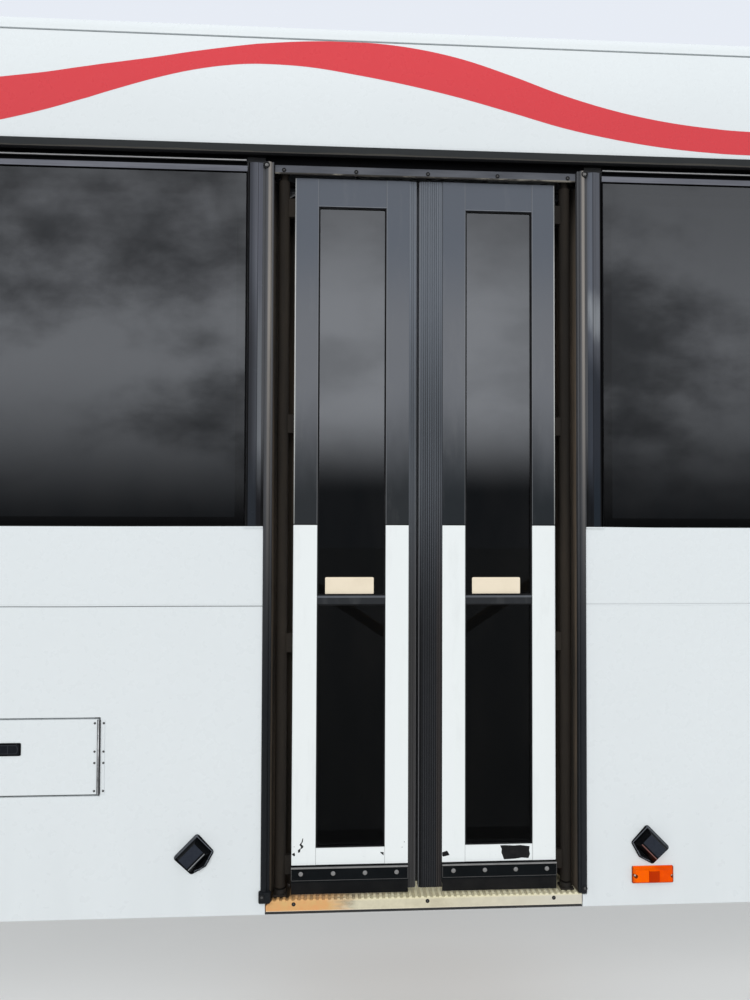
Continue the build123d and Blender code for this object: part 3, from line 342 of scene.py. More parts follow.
def bead_rubber():
    """Jamb rubber with a painted highlight on its crown, mixed with dust streaks, that widens and pales
    towards the top, and painted shade along its outer edge just above the waist.
    """
    f = Finish("bead_rubber")
    x = f.x
    side = f.math("ABSOLUTE", x)
    # Painted highlight on the bulb's crown, mixed with dust streaks.
    crown = f.span(f.away(side, f.by_side(*BEAD_HIGHLIGHTS)), 0.0075, 0.0015, smooth=True)
    height = f.span(f.z, 0.7, 1.75, smooth=True)
    streak = f.span(f.noise(30, 5, 0.6, (1, 1, 0.05)), 0.35, 0.7, 0.6, 1.0)
    dust = f.times(crown, f.times(height, streak))
    low = f.mix(f.by_side(), (24, 26, 29), (32, 34, 37))
    face = f.mix(f.span(f.z, 0.5, 1.45, smooth=True), low, (76, 77, 80))
    # Painted shade along the bead's outer edge, from the waist fading out upwards.
    recess = f.times(f.above(side, f.by_side(*BEAD_RECESSES)), f.span(f.z, 1.30, 1.12))
    face = f.mix(f.times(recess, f.above(f.z, 1.033)), face, (5, 5, 6))
    tone = f.mix(dust, face, (150, 144, 138))
    return f.close(tone, (40, 0.45, 0.62), 0.15, (300, 0.0002))


def reveal_rubber():
    """Black reveal with brown dust lying in long streaks, heavier low down, and painted shade making it
    near black at the top.
    """
    f = Finish("reveal_rubber")
    streak = f.span(f.noise(45, 6, 0.65, (1, 1, 0.04)), 0.38, 0.68)
    height = f.span(f.z, 1.95, 1.5, 0.1, 0.9)
    # Painted shade: near black at the top, under the header.
    base = f.mix(f.span(f.z, 1.82, 1.95), (65, 61, 56), (12, 12, 12))
    f.set(
        Base_Color=f.mix(f.times(streak, height), base, (112, 98, 84)),
        Roughness=f.drifting(30, 0.55, 0.75),
        Specular_IOR_Level=0.15,
    )
    f.bump(f.noise(90, 4, 0.6, (1, 1, 0.06)), 0.0006, 0.7)
    return f.material


STRIP_EDGES = (1.9870, 2.0100)  # heights of the header strip
STRIP_LIP = (1.9860, 1.9908)


def fascia_paint():
    """Recess painted near black as shade, with a grey strip along its low edge that is darker and
    chipped at its lip.
    """
    f = Finish("fascia_paint")
    z = f.z
    strip = f.between(z, *STRIP_EDGES)
    streak = f.span(f.noise(26, 5, 0.65, (0.15, 1, 1)), 0.35, 0.75)
    grey = f.mix(streak, (78, 80, 86), (104, 106, 112))
    chipped = f.span(f.noise(60, 5, 0.7, (0.2, 1, 1)), 0.5, 0.6)
    lip = f.mix(chipped, (58, 56, 54), (124, 120, 112))
    grey = f.mix(f.between(z, *STRIP_LIP), grey, lip)
    # Painted shade: the recess above the strip is near black.
    tone = f.mix(strip, (1, 1, 2), grey)
    return f.close(tone, (60, 0.45, 0.6), 0.08, (500, 0.0001))


DRIP_FOOT = 2.0345
DRIP_LINE = 2.0378


def drip_paint():
    """Charcoal rail with a paler, wavering line near its low edge, and painted shade on its underside.
    """
    f = Finish("drip_rail")
    waver = f.span(f.noise(5, 5, 0.6, (1, 1, 0.1)), 0.3, 0.7, -0.003, 0.003)
    z = f.math("ADD", f.z, waver)
    line = f.span(f.away(z, DRIP_LINE), 0.0042, 0.001, smooth=True)
    rub = f.span(f.noise(18, 5, 0.65, (0.2, 1, 1)), 0.4, 0.8, 0, 0.3)
    base = f.mix(rub, (46, 48, 49), (62, 62, 62))
    rail = f.mix(f.times(line, 0.8), base, (74, 71, 66))
    # Painted shade: near black below the rail's foot, on its underside.
    tone = f.mix(f.below(f.z, DRIP_FOOT), rail, (1, 1, 2))
    return f.close(tone, (50, 0.38, 0.52), 0.1, (500, 0.0001))


BRIGHT_LOW = 2.0184
FRAME_BAND = (1.9885, 2.0040)


def trim_metal():
    """Satin bright strip, painted near black along its low half as the shade of the gap beneath its
    bright edge.
    """
    f = Finish("bright_trim")
    high = f.above(f.z, BRIGHT_LOW)
    brushed = f.span(f.noise(60, 4, 0.6, (0.05, 1, 1)), 0.3, 0.7)
    # Painted shade: near black below the bright edge.
    tone = f.mix(high, (8, 8, 9), f.mix(brushed, (166, 166, 166), (194, 193, 192)))
    return f.close(tone, (50, 0.28, 0.42), 0.1, (300, 0.00005), Metallic=f.times(high, 0.4))


def hinge_paint():
    """Painted piano hinge: painted shade down the sides of its knuckles and along both sides of them,
    with the white showing along their crowns, more of it higher up.
    """
    f = Finish("hinge_paint")
    x = f.x
    uneven = f.span(f.noise(90, 5, 0.7, (1, 1, 0.3)), 0.35, 0.6, 0.3, 1.0)
    upper = f.span(f.z, 0.40, 0.43, 0.42, 0.95)
    # Painted shade over the knuckles and beside them, leaving their crowns white.
    barrel = f.between(x, HINGE_X - 0.0056, HINGE_X + 0.0038)
    crown = f.times(f.between(x, HINGE_X - 0.0022, HINGE_X + 0.0010), f.times(uneven, upper))
    knuckle_shading = f.mix(crown, (38, 38, 40), (226, 228, 230))
    return f.close(f.mix(barrel, WHITE, knuckle_shading), (60, 0.3, 0.48), 0.4, (300, 0.0001))


RIB_MIDDLE = 0.01385  # of the right leaf's guard
RIB_PITCH = 0.006


def nose_rubber():
    """Finger rubbers with dark streaks, painted shade in the grooves between the ribs and painted
    highlight lines along the left nose, paler towards the top.
    """
    f = Finish("nose_rubber")
    x = f.x
    z = f.z
    low = f.mix(f.between(x, -0.06, -0.0215), (42, 43, 46), (60, 59, 59))
    low = f.mix(f.between(x, 0.0310, 0.0440), low, (54, 50, 49))
    low = f.mix(f.between(x, -0.0165, -0.0095), low, (12, 12, 14))
    tone = f.mix(f.span(z, 0.7, 1.25, smooth=True), low, (84, 88, 94))
    tone = f.mix(f.span(z, 1.25, 1.75, smooth=True), tone, (108, 113, 121))
    turn = f.times(f.math("SUBTRACT", x, RIB_MIDDLE), math.tau / RIB_PITCH)
    groove = f.span(f.math("COSINE", turn), 0.1, -0.7)
    streak = f.span(f.noise(160, 2, 0.5, (1, 1, 0.004)), 0.4, 0.6)
    # Painted shade in the grooves between the ribs, heavier low down.
    depth = f.span(z, 0.9, 1.6, 0.8, 0.24)
    groove_shade = f.times(f.between(x, -0.0150, 0.0430), f.times(groove, depth))
    tone = f.mix(groove_shade, tone, (8, 9, 12))
    tone = f.mix(f.times(streak, 0.16), tone, (22, 22, 24))
    # Painted highlight lines along the left nose's edges.
    pale = f.math("MAXIMUM", f.between(x, -0.0275, -0.0247), f.between(x, -0.0187, -0.0165))
    tone = f.mix(f.times(pale, 0.3), tone, (150, 150, 152))
    tone = f.mix(f.times(f.between(x, 0.0438, 0.0470), 0.5), tone, (14, 14, 16))
    return f.close(tone, (40, 0.4, 0.58), 0.18, (300, 0.0002))


def frame_paint():
    """Black window frame with a satin grey band along its top."""
    f = Finish("frame_paint")
    band = f.between(f.z, *FRAME_BAND)
    brushed = f.span(f.noise(60, 4, 0.6, (0.05, 1, 1)), 0.3, 0.7)
    tone = f.mix(band, (4, 4, 5), f.mix(brushed, (96, 97, 104), (124, 125, 132)))
    return f.close(tone, (50, 0.35, 0.5), 0.1, (300, 0.00005), Metallic=f.times(band, 0.4))


TRIM_RIDGES = (0.4563, 0.4590)  # of the left and the right post
TRIM_GLEAM_Z = 1.62


def pillar_gloss():
    """Gloss black post trim with painted reflection turning its two faces blue-grey above the waist, a
    painted highlight across the right trim, and painted shade in the gap at its outer edge.
    """
    f = Finish("pillar_gloss")
    x = f.x
    side = f.math("ABSOLUTE", x)
    z = f.math("ADD", f.z, f.span(f.noise(7, 4, 0.6, (3, 1, 0.5)), 0.3, 0.7, -0.04, 0.04))
    right = f.by_side()
    ridge = f.by_side(*TRIM_RIDGES)
    outer = f.above(side, ridge)
    near_ridge = f.span(side, 0.473, 0.459)
    # Painted reflection: each face pales to blue-grey upwards, in its own way on each side.
    top = f.span(z, 1.50, 1.78, smooth=True)
    left_inner = f.mix(top, (107, 110, 115), (94, 96, 105))
    left_outer = f.mix(
        near_ridge,
        f.mix(top, (44, 45, 49), (64, 66, 73)),
        f.mix(top, (70, 72, 78), (94, 96, 104)),
    )
    high = f.span(z, 1.42, 1.60, smooth=True)
    right_inner = f.mix(high, (53, 57, 65), (94, 98, 107))
    right_outer = f.mix(high, (41, 44, 51), (86, 88, 95))
    # Painted highlight across the right trim.
    gleam = f.span(f.away(z, TRIM_GLEAM_Z), 0.09, 0.01, 0.0, 0.45, smooth=True)
    right_face = f.mix(gleam, f.mix(outer, right_inner, right_outer), (160, 164, 168))
    face = f.mix(right, f.mix(outer, left_inner, left_outer), right_face)
    left_low = f.mix(outer, (22, 22, 25), (34, 38, 44))
    right_low = f.mix(outer, (10, 12, 16), (26, 33, 41))
    tone = f.mix(f.span(z, 1.08, 1.27, smooth=True), f.mix(right, left_low, right_low), face)
    streak = f.span(f.noise(140, 3, 0.6, (1, 1, 0.01)), 0.4, 0.65, 0, 0.2)
    tone = f.mix(streak, tone, (34, 35, 38))
    line = f.below(f.away(side, ridge), 0.0010)
    tone = f.mix(f.times(line, 0.6), tone, (20, 20, 24))
    # Painted shade: near black in the gap at the trim's outer edge.
    f.set(
        Base_Color=f.mix(f.between(side, 0.4786, 0.49), tone, (3, 3, 4)),
        Roughness=f.drifting(40, 0.16, 0.28),
        Specular_IOR_Level=0.1,
    )
    f.bump(f.noise(6, 2, 0.5, (1, 1, 0.3)), 0.002, 0.35)
    return f.material


SEAM_LINES = (0.8215, 0.8245)


def seam_sealant():
    """White sealant with one thin line along it, dark on the left of the door and pale on the right."""
    f = Finish("seam_sealant")
    middle = f.by_side(*SEAM_LINES)
    waver = f.span(f.noise(14, 4, 0.6, (0.3, 1, 1)), 0.3, 0.7, -0.0003, 0.0003)
    thin = f.below(f.away(f.math("ADD", f.z, waver), middle), 0.0009)
    line = f.mix(f.by_side(), (64, 66, 68), (192, 196, 198))
    tone = f.mix(thin, (222, 227, 229), line)
    return f.close(tone, (60, 0.32, 0.5), 0.4, (200, 0.0001))


TINT = (0.004, 0.0045, 0.005, 1)
TINT_SMEARED = (0.008, 0.008, 0.008, 1)
GLASS_IOR = 1.14


def tinted_glass(name, start, end, top, least, right, coat_ior):
    """Dark tint, with a painted reflection: a coat that is stronger above and in drifting cloud-like
    patches, and weaker under the roof.
    """
    f = Finish(name)
    z = f.z
    drift = f.math(
        "ADD",
        f.times(f.noise(1.5, 2, 0.45, (1.0, 1, 1.9), 0.15), 0.75),
        f.times(f.noise(6.5, 4, 0.55, (1.0, 1, 1.7), 0.1), 0.25),
    )
    height = f.span(z, start, end, smooth=True)
    under_roof = f.span(z, 1.6, 1.95, 1.0, top, smooth=True)
    height = f.times(height, under_roof)
    height = f.times(height, f.span(f.x, -0.4, 0.4, 1.0, right))
    # Painted reflection: the coat follows the height and a cloud-like drift.
    film = f.times(height, f.span(drift, 0.38, 0.60, least, 1.0, smooth=True))
    smear = f.noise(12, 5, 0.6, (1, 1, 0.3))
    f.set(
        Base_Color=f.mix(f.span(smear, 0.4, 0.8), TINT, TINT_SMEARED),
        Roughness=f.span(smear, 0.35, 0.8, 0.0, 0.06),
        Transmission_Weight=1.0,
        IOR=GLASS_IOR,
        Coat_Weight=film,
        Coat_IOR=coat_ior,
        Coat_Roughness=0.02,
    )
    f.bump(f.noise(1.5, 1.0), 0.002, 0.2)
    return f.material


def nosing_finish():
    """Worn cream tread plate, rubbed to orange-tan at its left end, with dirt in its grooves and
    painted shade behind its left end.
    """
    f = Finish("nosing")
    x = f.x
    y = f.y
    z = f.z
    uneven = f.span(f.noise(14, 5, 0.6, (0.6, 1, 2)), 0.3, 0.7, -0.06, 0.06)
    along = f.math("ADD", x, uneven)
    cream = f.mix(f.span(f.noise(22, 6, 0.65), 0.35, 0.75), (218, 210, 184), (190, 182, 158))
    grey = f.mix(f.span(along, 0.05, 0.4), cream, (210, 205, 190))
    tan = f.mix(f.span(f.noise(30, 5, 0.65), 0.35, 0.7), (224, 162, 106), (214, 176, 116))
    tone = f.mix(f.span(along, -0.27, -0.15), tan, grey)
    top = f.span(z, 0.0415, 0.0460)
    rubbed = f.mix(f.span(along, -0.27, -0.1), (226, 178, 120), (240, 232, 192))
    tone = f.mix(f.times(top, 0.6), tone, rubbed)
    scuff = f.times(f.span(along, -0.26, -0.20, smooth=True), f.span(along, -0.13, -0.18, smooth=True))
    dirt = f.span(f.noise(60, 6, 0.7, (0.4, 1, 1)), 0.42, 0.66)
    tone = f.mix(f.times(scuff, f.times(dirt, 0.65)), tone, (92, 88, 76))
    edge = f.between(z, 0.0, 0.0205)
    tone = f.mix(f.times(edge, 0.6), tone, (236, 228, 208))
    behind = f.span(y, SKIN_Y + 0.003, SKIN_Y + 0.006)
    groove = f.times(behind, f.span(z, 0.0485, 0.0468))
    tone = f.mix(f.times(groove, f.span(dirt, 0, 1, 0.25, 0.5)), tone, (110, 98, 76))
    # Painted shade behind the tread's left end, beside the left leaf.
    corner = f.times(f.span(y, SKIN_Y + 0.006, SKIN_Y + 0.02), f.span(x, -0.352, -0.362))
    f.set(
        Base_Color=f.mix(f.times(corner, 0.92), tone, (30, 28, 25)),
        Roughness=f.drifting(50, 0.45, 0.7),
        Specular_IOR_Level=0.3,
    )
    f.bump(f.noise(260, 4), 0.0003, 0.6)
    return f.material


RIBS = {"lens": 2100.0, "covering": 1250.0, "plies": 2200.0}  # radians to a metre
MARKER_X = 0.618
MARKER_Z = 0.094
MARKER_SCREW = 0.050


def amber_lens():
    """Ribbed amber lens with painted shade over its right part, a darker block in its middle, dark
    ends, low edge and screw pockets.
    """
    f = Finish("amber_lens")
    x = f.x
    across = f.away(x, MARKER_X)
    up = f.math("SUBTRACT", f.z, MARKER_Z)
    mottled = f.span(f.noise(80, 4), 0.3, 0.7)
    lit = f.mix(mottled, (255, 106, 0), (252, 96, 0))
    shaded = f.mix(mottled, (244, 84, 0), (234, 74, 0))
    # Painted shade over the right part of the lens.
    lit = f.mix(f.span(x, 0.620, 0.632), lit, shaded)
    ribs = f.math("SINE", f.times(x, RIBS["lens"]))
    inner = f.mix(f.span(ribs, -0.5, 0.6), (166, 38, 0), (206, 58, 0))
    block = f.times(f.below(across, 0.0146), f.below(up, 0.0140))
    lit = f.mix(block, lit, inner)
    low = f.below(up, -0.0188)
    lit = f.mix(f.times(low, 0.8), lit, (176, 40, 0))
    ends = f.above(across, 0.0542)
    lit = f.mix(f.times(ends, 0.8), lit, (112, 50, 14))
    beside = f.math("SUBTRACT", across, MARKER_SCREW)
    pocket = f.below(f.radius(beside, up), 0.0052)
    f.set(
        Base_Color=f.mix(f.times(pocket, 0.85), lit, (96, 44, 20)),
        Roughness=f.drifting(60, 0.14, 0.26),
        Specular_IOR_Level=0.05,
    )
    f.bump(ribs, 0.0003, 0.4)
    return f.material


LATCH_END = -1.058
LATCH_MIDDLE = 0.4525


def latch_plastic():
    """Black latch, with thin grey lines where its paddle ends."""
    f = Finish("latch_plastic")
    inboard = f.math("SUBTRACT", LATCH_END, f.x)
    up = f.away(f.z, LATCH_MIDDLE)
    inner = f.times(f.below(up, 0.0125), f.above(inboard, 0.0045))
    grain = f.span(f.noise(70, 4, 0.6), 0.3, 0.7)
    tone = f.mix(inner, (7, 8, 10), f.mix(grain, (20, 22, 27), (28, 30, 35)))
    sides = f.times(f.between(up, 0.0100, 0.0116), f.above(inboard, 0.0125))
    beside = f.math("SUBTRACT", inboard, 0.0232)
    reach = f.radius(beside, up)
    bow = f.times(f.between(reach, 0.0142, 0.0160), f.below(inboard, 0.0125))
    split = f.between(inboard, 0.0322, 0.0338)
    lines = f.math("MAXIMUM", f.math("MAXIMUM", sides, bow), split)
    lines = f.times(lines, f.below(up, 0.0117))
    tone = f.mix(f.times(lines, 0.8), tone, (56, 58, 62))
    return f.close(tone, (90, 0.35, 0.5), 0.06, (500, 0.00008))


LAMP_X = 0.607
LAMP_Z = 0.1697
DIAGONAL = math.sqrt(0.5)


def step_lamp_plastic():
    """Black plastic with painted highlights: a pale line inside the flange's edge, a paler band along
    its back, a grey hood top and a bright low edge to the hood, pinkish on the right lamp as painted
    reflection of the marker lamp.
    """
    f = Finish("lamp_plastic")
    out = f.math("SUBTRACT", SKIN_Y, f.y)
    across = f.math("SUBTRACT", f.math("ABSOLUTE", f.x), LAMP_X)
    up = f.math("SUBTRACT", f.z, LAMP_Z)
    along = f.times(f.math("ADD", across, up), -DIAGONAL)
    aside = f.times(f.math("SUBTRACT", across, up), DIAGONAL)
    wide = f.math("ABSOLUTE", aside)
    from_back = f.math("ADD", along, 0.039)
    from_side = f.math("SUBTRACT", 0.0432, wide)
    slant = f.times(f.math("SUBTRACT", 0.0387, along), 0.9585)
    from_point = f.math("SUBTRACT", slant, f.times(wide, 0.2857))
    inset = f.math("MINIMUM", from_back, f.math("MINIMUM", from_side, from_point))
    flange = f.below(out, 0.0090)
    # Painted highlights: the pale line inside the flange's edge and the band along its back.
    line = f.times(f.between(inset, 0.0026, 0.0052), f.below(aside, 0.030))
    band = f.times(f.below(from_back, 0.0065), 0.55)
    grain = f.span(f.noise(120, 4, 0.6), 0.3, 0.7)
    tone = f.mix(f.math("MAXIMUM", band, line), (6, 7, 9), (92, 96, 102))
    tone = f.mix(flange, (4, 5, 7), tone)
    # Painted highlights on the hood: a grey top and a bright edge, pinkish on the right lamp as painted
    # reflection of the marker lamp.
    top = f.above(out, 0.0235)
    face = f.mix(grain, (40, 44, 53), (48, 52, 60))
    face = f.mix(f.above(along, 0.0035), face, (4, 5, 7))
    edge = f.mix(f.above(f.x, 0.0), (124, 126, 128), (116, 84, 78))
    face = f.mix(f.above(along, 0.0074), face, edge)
    return f.close(f.mix(top, tone, face), (90, 0.28, 0.42), 0.04, (500, 0.00008))


def ribbed_covering():
    """Grey floor covering with fine ribs running inboard."""
    f = Finish("floor_covering")
    ribs = f.span(f.math("SINE", f.times(f.x, RIBS["covering"])), -0.2, 0.4)
    wear = f.span(f.noise(7, 5, 0.6), 0.4, 0.75, 0, 0.5)
    base = f.mix(ribs, (52, 53, 56), (82, 84, 88))
    f.set(Base_Color=f.mix(wear, base, (112, 108, 100)), Roughness=f.span(wear, 0, 0.5, 0.55, 0.75))
    f.bump(ribs, 0.0012, 0.8)
    return f.material


def plywood():
    """Sealed plywood, with grain along the bus and its plies on the edges."""
    f = Finish("floor_board")
    grain = f.noise(24, 6, 0.65, (0.08, 1, 1), 0.6)
    plies = f.span(f.math("SINE", f.times(f.z, RIBS["plies"])), -0.3, 0.3)
    tone = f.mix(f.span(grain, 0.35, 0.7), (172, 138, 98), (128, 96, 62))
    f.set(
        Base_Color=f.mix(f.times(plies, 0.25), tone, (96, 70, 46)),
        Roughness=f.span(grain, 0.3, 0.7, 0.5, 0.68),
    )
    f.bump(grain, 0.0004, 0.5)
    return f.material


def make_materials():
    """One finish for each name, used below for the model's own pieces and the new ones."""
    return {
        "panel": coach_paint("panel_paint", WHITE),
        "stripe": coach_paint("stripe_film", RED, 0.1),
        "leaf": door_leaf_paint("leaf_paint", False),
        "leaf_rail": door_leaf_paint("leaf_rail_paint", True),
        "rail_black": worn("cant_rail_paint", (5, 5, 6), (26, 26, 27), 0.6, specular=0.05),
        "housing": worn("housing_plastic", (78, 80, 84), (104, 104, 106), 0.5, 120, 0.0003),
        "steel": worn("chassis_paint", (40, 41, 43), (86, 80, 74), 0.5),
        "shaft": worn(
            "shaft_paint", (34, 31, 28), (70, 61, 51), 0.6, 50, 0.0002, 0.5, (1, 1, 0.1), specular=0.08
        ),
        "drive": worn("drive_steel", (30, 30, 31), (64, 58, 52), 0.5, 90, metal=0.3),
        "lamp": step_lamp_plastic(),
        "latch": latch_plastic(),
        "sealant": seam_sealant(),
        "drip": drip_paint(),
        "fascia": fascia_paint(),
        "frame": frame_paint(),
        "gloss": pillar_gloss(),
        "bright": trim_metal(),
        "hinge": hinge_paint(),
        "bare": worn("bare_steel", (160, 160, 162), (104, 98, 92), 0.32, 90, metal=1.0),
        "dull_steel": worn("dull_steel", (92, 91, 90), (50, 46, 42), 0.5, 120, metal=0.6),
        "screw": worn("screw_steel", (140, 139, 138), (86, 84, 82), 0.42, 300, 0.0001, 0.5, metal=0.3),
        "pale_screw": worn("pale_screw_steel", (214, 204, 200), (160, 150, 146), 0.4, 300, 0.0001),
        "bearing": worn("bearing_paint", (34, 32, 30), (78, 66, 54), 0.55, 90, specular=0.2),
        "cast": worn("cast_housing", (150, 152, 155), (100, 100, 102), 0.5, 70, metal=0.7),
        "plastic": worn("black_plastic", (14, 14, 15), (44, 44, 46), 0.4, 90, specular=0.3),
        "strip": worn("sweep_strip_paint", (3, 7, 10), (24, 27, 30), 0.4, 60, specular=0.12),
        "sweep": worn("sweep_rubber", (11, 12, 14), (50, 48, 46), 0.6, 40, specular=0.15),
        "nose": nose_rubber(),
        "glazing": worn("glazing_rubber", (12, 12, 13), (50, 50, 52), 0.55, 90, specular=0.15),
        "bead": bead_rubber(),
        "reveal": reveal_rubber(),
        "window_glass": tinted_glass("window_glass", 1.02, 1.5, 0.8, 0.25, 0.78, 2.28),
        "pane_glass": tinted_glass("pane_glass", 1.12, 1.38, 0.62, 0.74, 0.95, 2.85),
        "nosing": nosing_finish(),
        "board": plywood(),
        "covering": ribbed_covering(),
        "lining": worn("lining", (176, 178, 178), (150, 148, 144), 0.5, 120, 0.0003),
        "yellow": worn("yellow_tube", (214, 160, 26), (170, 136, 60), 0.35, 50, 0.0001),
        "amber": amber_lens(),
        "label": worn("blank_label", (238, 224, 200), (206, 190, 164), 0.45, 60, 0.00005, 0.4),
        "bare_patch": worn("chipped_edge", (18, 18, 19), (60, 58, 56), 0.6, 200, specular=0.2),
    }


finishes = make_materials()
NODES = {
    "panel": (
        "access_flap", "cove_panel", "left_skirt_panel", "right_skirt_panel", "roof_edge",
        "waist_panels",
    ),
    "rail_black": ("cant_rails",),
    "bare": ("cover_hinge",),
    "steel": (
        "door_header", "door_posts", "end_posts", "roof_rail", "sill_beam", "skirt_rails",
        "waist_rails",
    ),
    "cast": ("door_operator",),
    "drip": ("drip_rail",),
    "hinge": ("flap_hinge_fixed", "flap_hinge_moving"),
    "latch": ("flap_latch",),
    "board": ("floor_board",),
    "covering": ("floor_covering",),
    "fascia": ("header_strip",),
    "lining": ("high_linings", "low_linings", "window_surrounds"),
    "bead": ("jamb_beads",),
    "reveal": ("jamb_reveals",),
    "housing": ("operator_cover", "operator_housing"),
    "gloss": ("pillar_trims",),
    "bearing": ("pivot_bearings",),
    "amber": ("side_marker_lamp",),
    "lamp": ("step_lamps",),
    "nosing": ("threshold",),
    "frame": ("window_frames",),
    "bright": ("window_trims",),
    "window_glass": ("windows",),
}
NODES_OF_EACH_LEAF = {
    "leaf": ("leaf_uprights",),
    "leaf_rail": ("leaf_rails",),
    "pane_glass": ("leaf_glass",),
    "glazing": ("leaf_glazing",),
    "nose": ("leaf_nose_rubber",),
    "sweep": ("leaf_sweep",),
    "strip": ("sweep_strip",),
    "yellow": ("grab_rail",),
    "shaft": ("door_shaft",),
    "drive": ("drive_crank", "drive_rod"),
}


def paint_node(name, finish):
    """Gives a node of the model its finish."""
    data = nodes[name].data
    data.materials.clear()
    data.materials.append(finishes[finish])


for finish, names in NODES.items():
    for name in names:
        paint_node(name, finish)
for finish, names in NODES_OF_EACH_LEAF.items():
    for name in names:
        paint_node(f"left_{name}", finish)
        paint_node(f"right_{name}", finish)


def add_piece(name, mesh, finish, body):
    """Links a finished mesh as a piece that rides on a body."""
    piece = bpy.data.objects.new(name, mesh)
    bpy.context.scene.collection.objects.link(piece)
    mesh.materials.append(finishes[finish])
    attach(piece, body)


# Fastener heads: rings as share of the radius, share of the height, and depth of a cross
HEAD_SIDES = 20
HEADS = {
    "screw": (
        (1.0, -0.1, 0.0),
        (1.0, 0.35, 0.0),
        (0.9, 0.75, 0.0),
        (0.62, 0.98, 0.0),
        (0.40, 1.0, 0.25),
        (0.20, 0.4, 0.45),
    ),
    "rivet": (
        (1.0, -0.1, 0.0),
        (0.94, 0.4, 0.0),
        (0.72, 0.8, 0.0),
        (0.38, 0.97, 0.0),
        (0.12, 1.0, 0.0),
    ),
    "cup": (
        (1.0, -0.1, 0.0),
        (1.0, 0.8, 0.0),
        (0.92, 1.0, 0.0),
        (0.70, 1.0, 0.0),
        (0.64, 0.5, 0.0),
        (0.1, 0.5, 0.0),
    ),
}
OUTSIDE = Vector((0, -1, 0))
INSIDE = Vector((0, 1, 0))
UPWARDS = Vector((0, 0, 1))


def finish_mesh(bm, name):
    """Turns a bmesh into a mesh with its normals outwards."""
    bmesh.ops.recalc_face_normals(bm, faces=bm.faces)
    mesh = bpy.data.meshes.new(name)
    bm.to_mesh(mesh)
    bm.free()
    return mesh


def bridge(bm, rings):
    """Faces between rings of points, with both ends closed."""
    for first, second in zip(rings, rings[1:]):
        for n in range(len(first)):
            m = (n + 1) % len(first)
            bm.faces.new((first[n], first[m], second[m], second[n]))
    bm.faces.new(rings[0])
    bm.faces.new(reversed(rings[-1]))


def add_heads(
    name, finish, kind, places, radius, height, facing=OUTSIDE, body="bodyside"
):
    """Fastener heads on surfaces, each turned its own way."""
    bm = bmesh.new()
    across = facing.orthogonal().normalized()
    over = facing.cross(across)
    for place in places:
        turn = random.uniform(0, math.tau)
        rings = []
        for reach, rise, cross in HEADS[kind]:
            ring = []
            for n in range(HEAD_SIDES):
                angle = math.tau * n / HEAD_SIDES
                out = radius * reach * (1 + cross * math.cos(4 * angle))
                spoke = across * math.cos(angle + turn) + over * math.sin(angle + turn)
                ring.append(bm.verts.new(Vector(place) + out * spoke + facing * height * rise))
            rings.append(ring)
        bridge(bm, rings)
    for face in bm.faces:
        face.smooth = len(face.verts) == 4
    add_piece(name, finish_mesh(bm, name), finish, body)


def add_films(name, finish, outlines, front, thickness, body="bodyside"):
    """Thin flat pieces from x, z outlines, standing out from a surface at y."""
    bm = bmesh.new()
    for outline in outlines:
        bridge(bm, [[bm.verts.new((x, front - out, z)) for x, z in outline] for out in (0, thickness)])
    add_piece(name, finish_mesh(bm, name), finish, body)


def add_bar(name, finish, ends, profile, body="bodyside"):
    """Bar along the bus between two x values, from a y, z profile."""
    bm = bmesh.new()
    bridge(bm, [[bm.verts.new((x, y, z)) for y, z in profile] for x in ends])
    add_piece(name, finish_mesh(bm, name), finish, body)


def rounded(x_low, x_high, z_low, z_high, radius):
    """Outline of a rectangle with round corners."""
    corners = (
        (x_high - radius, z_high - radius, 0),
        (x_low + radius, z_high - radius, 90),
        (x_low + radius, z_low + radius, 180),
        (x_high - radius, z_low + radius, 270),
    )
    points = []
    for x, z, start in corners:
        for step in range(0, 91, 15):
            angle = math.radians(start + step)
            points.append((x + radius * math.cos(angle), z + radius * math.sin(angle)))
    return points


CHIP_POINTS = 11


def ragged(x, z, radius):
    """Outline of a small chip."""
    points = []
    for n in range(CHIP_POINTS):
        angle = math.tau * n / CHIP_POINTS
        reach = radius * random.uniform(0.55, 1.25)
        points.append((x + reach * math.cos(angle), z + reach * math.sin(angle)))
    return points


# Red stripe: x, top and low edge, from left to right
STRIPE = (
    (-1.880, 2.1560, 2.0480),
    (-1.500, 2.1800, 2.0600),
    (-1.250, 2.2060, 2.0820),
    (-1.130, 2.2230, 2.1082),
    (-1.020, 2.2394, 2.1387),
    (-0.908, 2.2600, 2.1748),
    (-0.819, 2.2756, 2.2059),
    (-0.732, 2.2907, 2.2338),
    (-0.643, 2.3079, 2.2575),
    (-0.552, 2.3234, 2.2742),
    (-0.461, 2.3373, 2.2823),
    (-0.324, 2.3491, 2.2786),
    (-0.186, 2.3522, 2.2604),
    (-0.046, 2.3421, 2.2369),
    (0.094, 2.3165, 2.2074),
    (0.236, 2.2740, 2.1714),
    (0.378, 2.2256, 2.1342),
    (0.522, 2.1873, 2.1068),
    (0.666, 2.1609, 2.0876),
    (0.812, 2.1460, 2.0772),
    (0.899, 2.1414, 2.0748),
    (1.250, 2.1400, 2.0740),
    (1.880, 2.1560, 2.0860),
)
STRIPE_STEPS = 8
FILM = 0.0004


def between(before, start, end, after, share):
    """Smooth curve value at a share of the way from start to end."""
    a = 2 * start
    b = end - before
    c = 2 * before - 5 * start + 4 * end - after
    d = 3 * start - before - 3 * end + after
    return 0.5 * (a + b * share + c * share**2 + d * share**3)


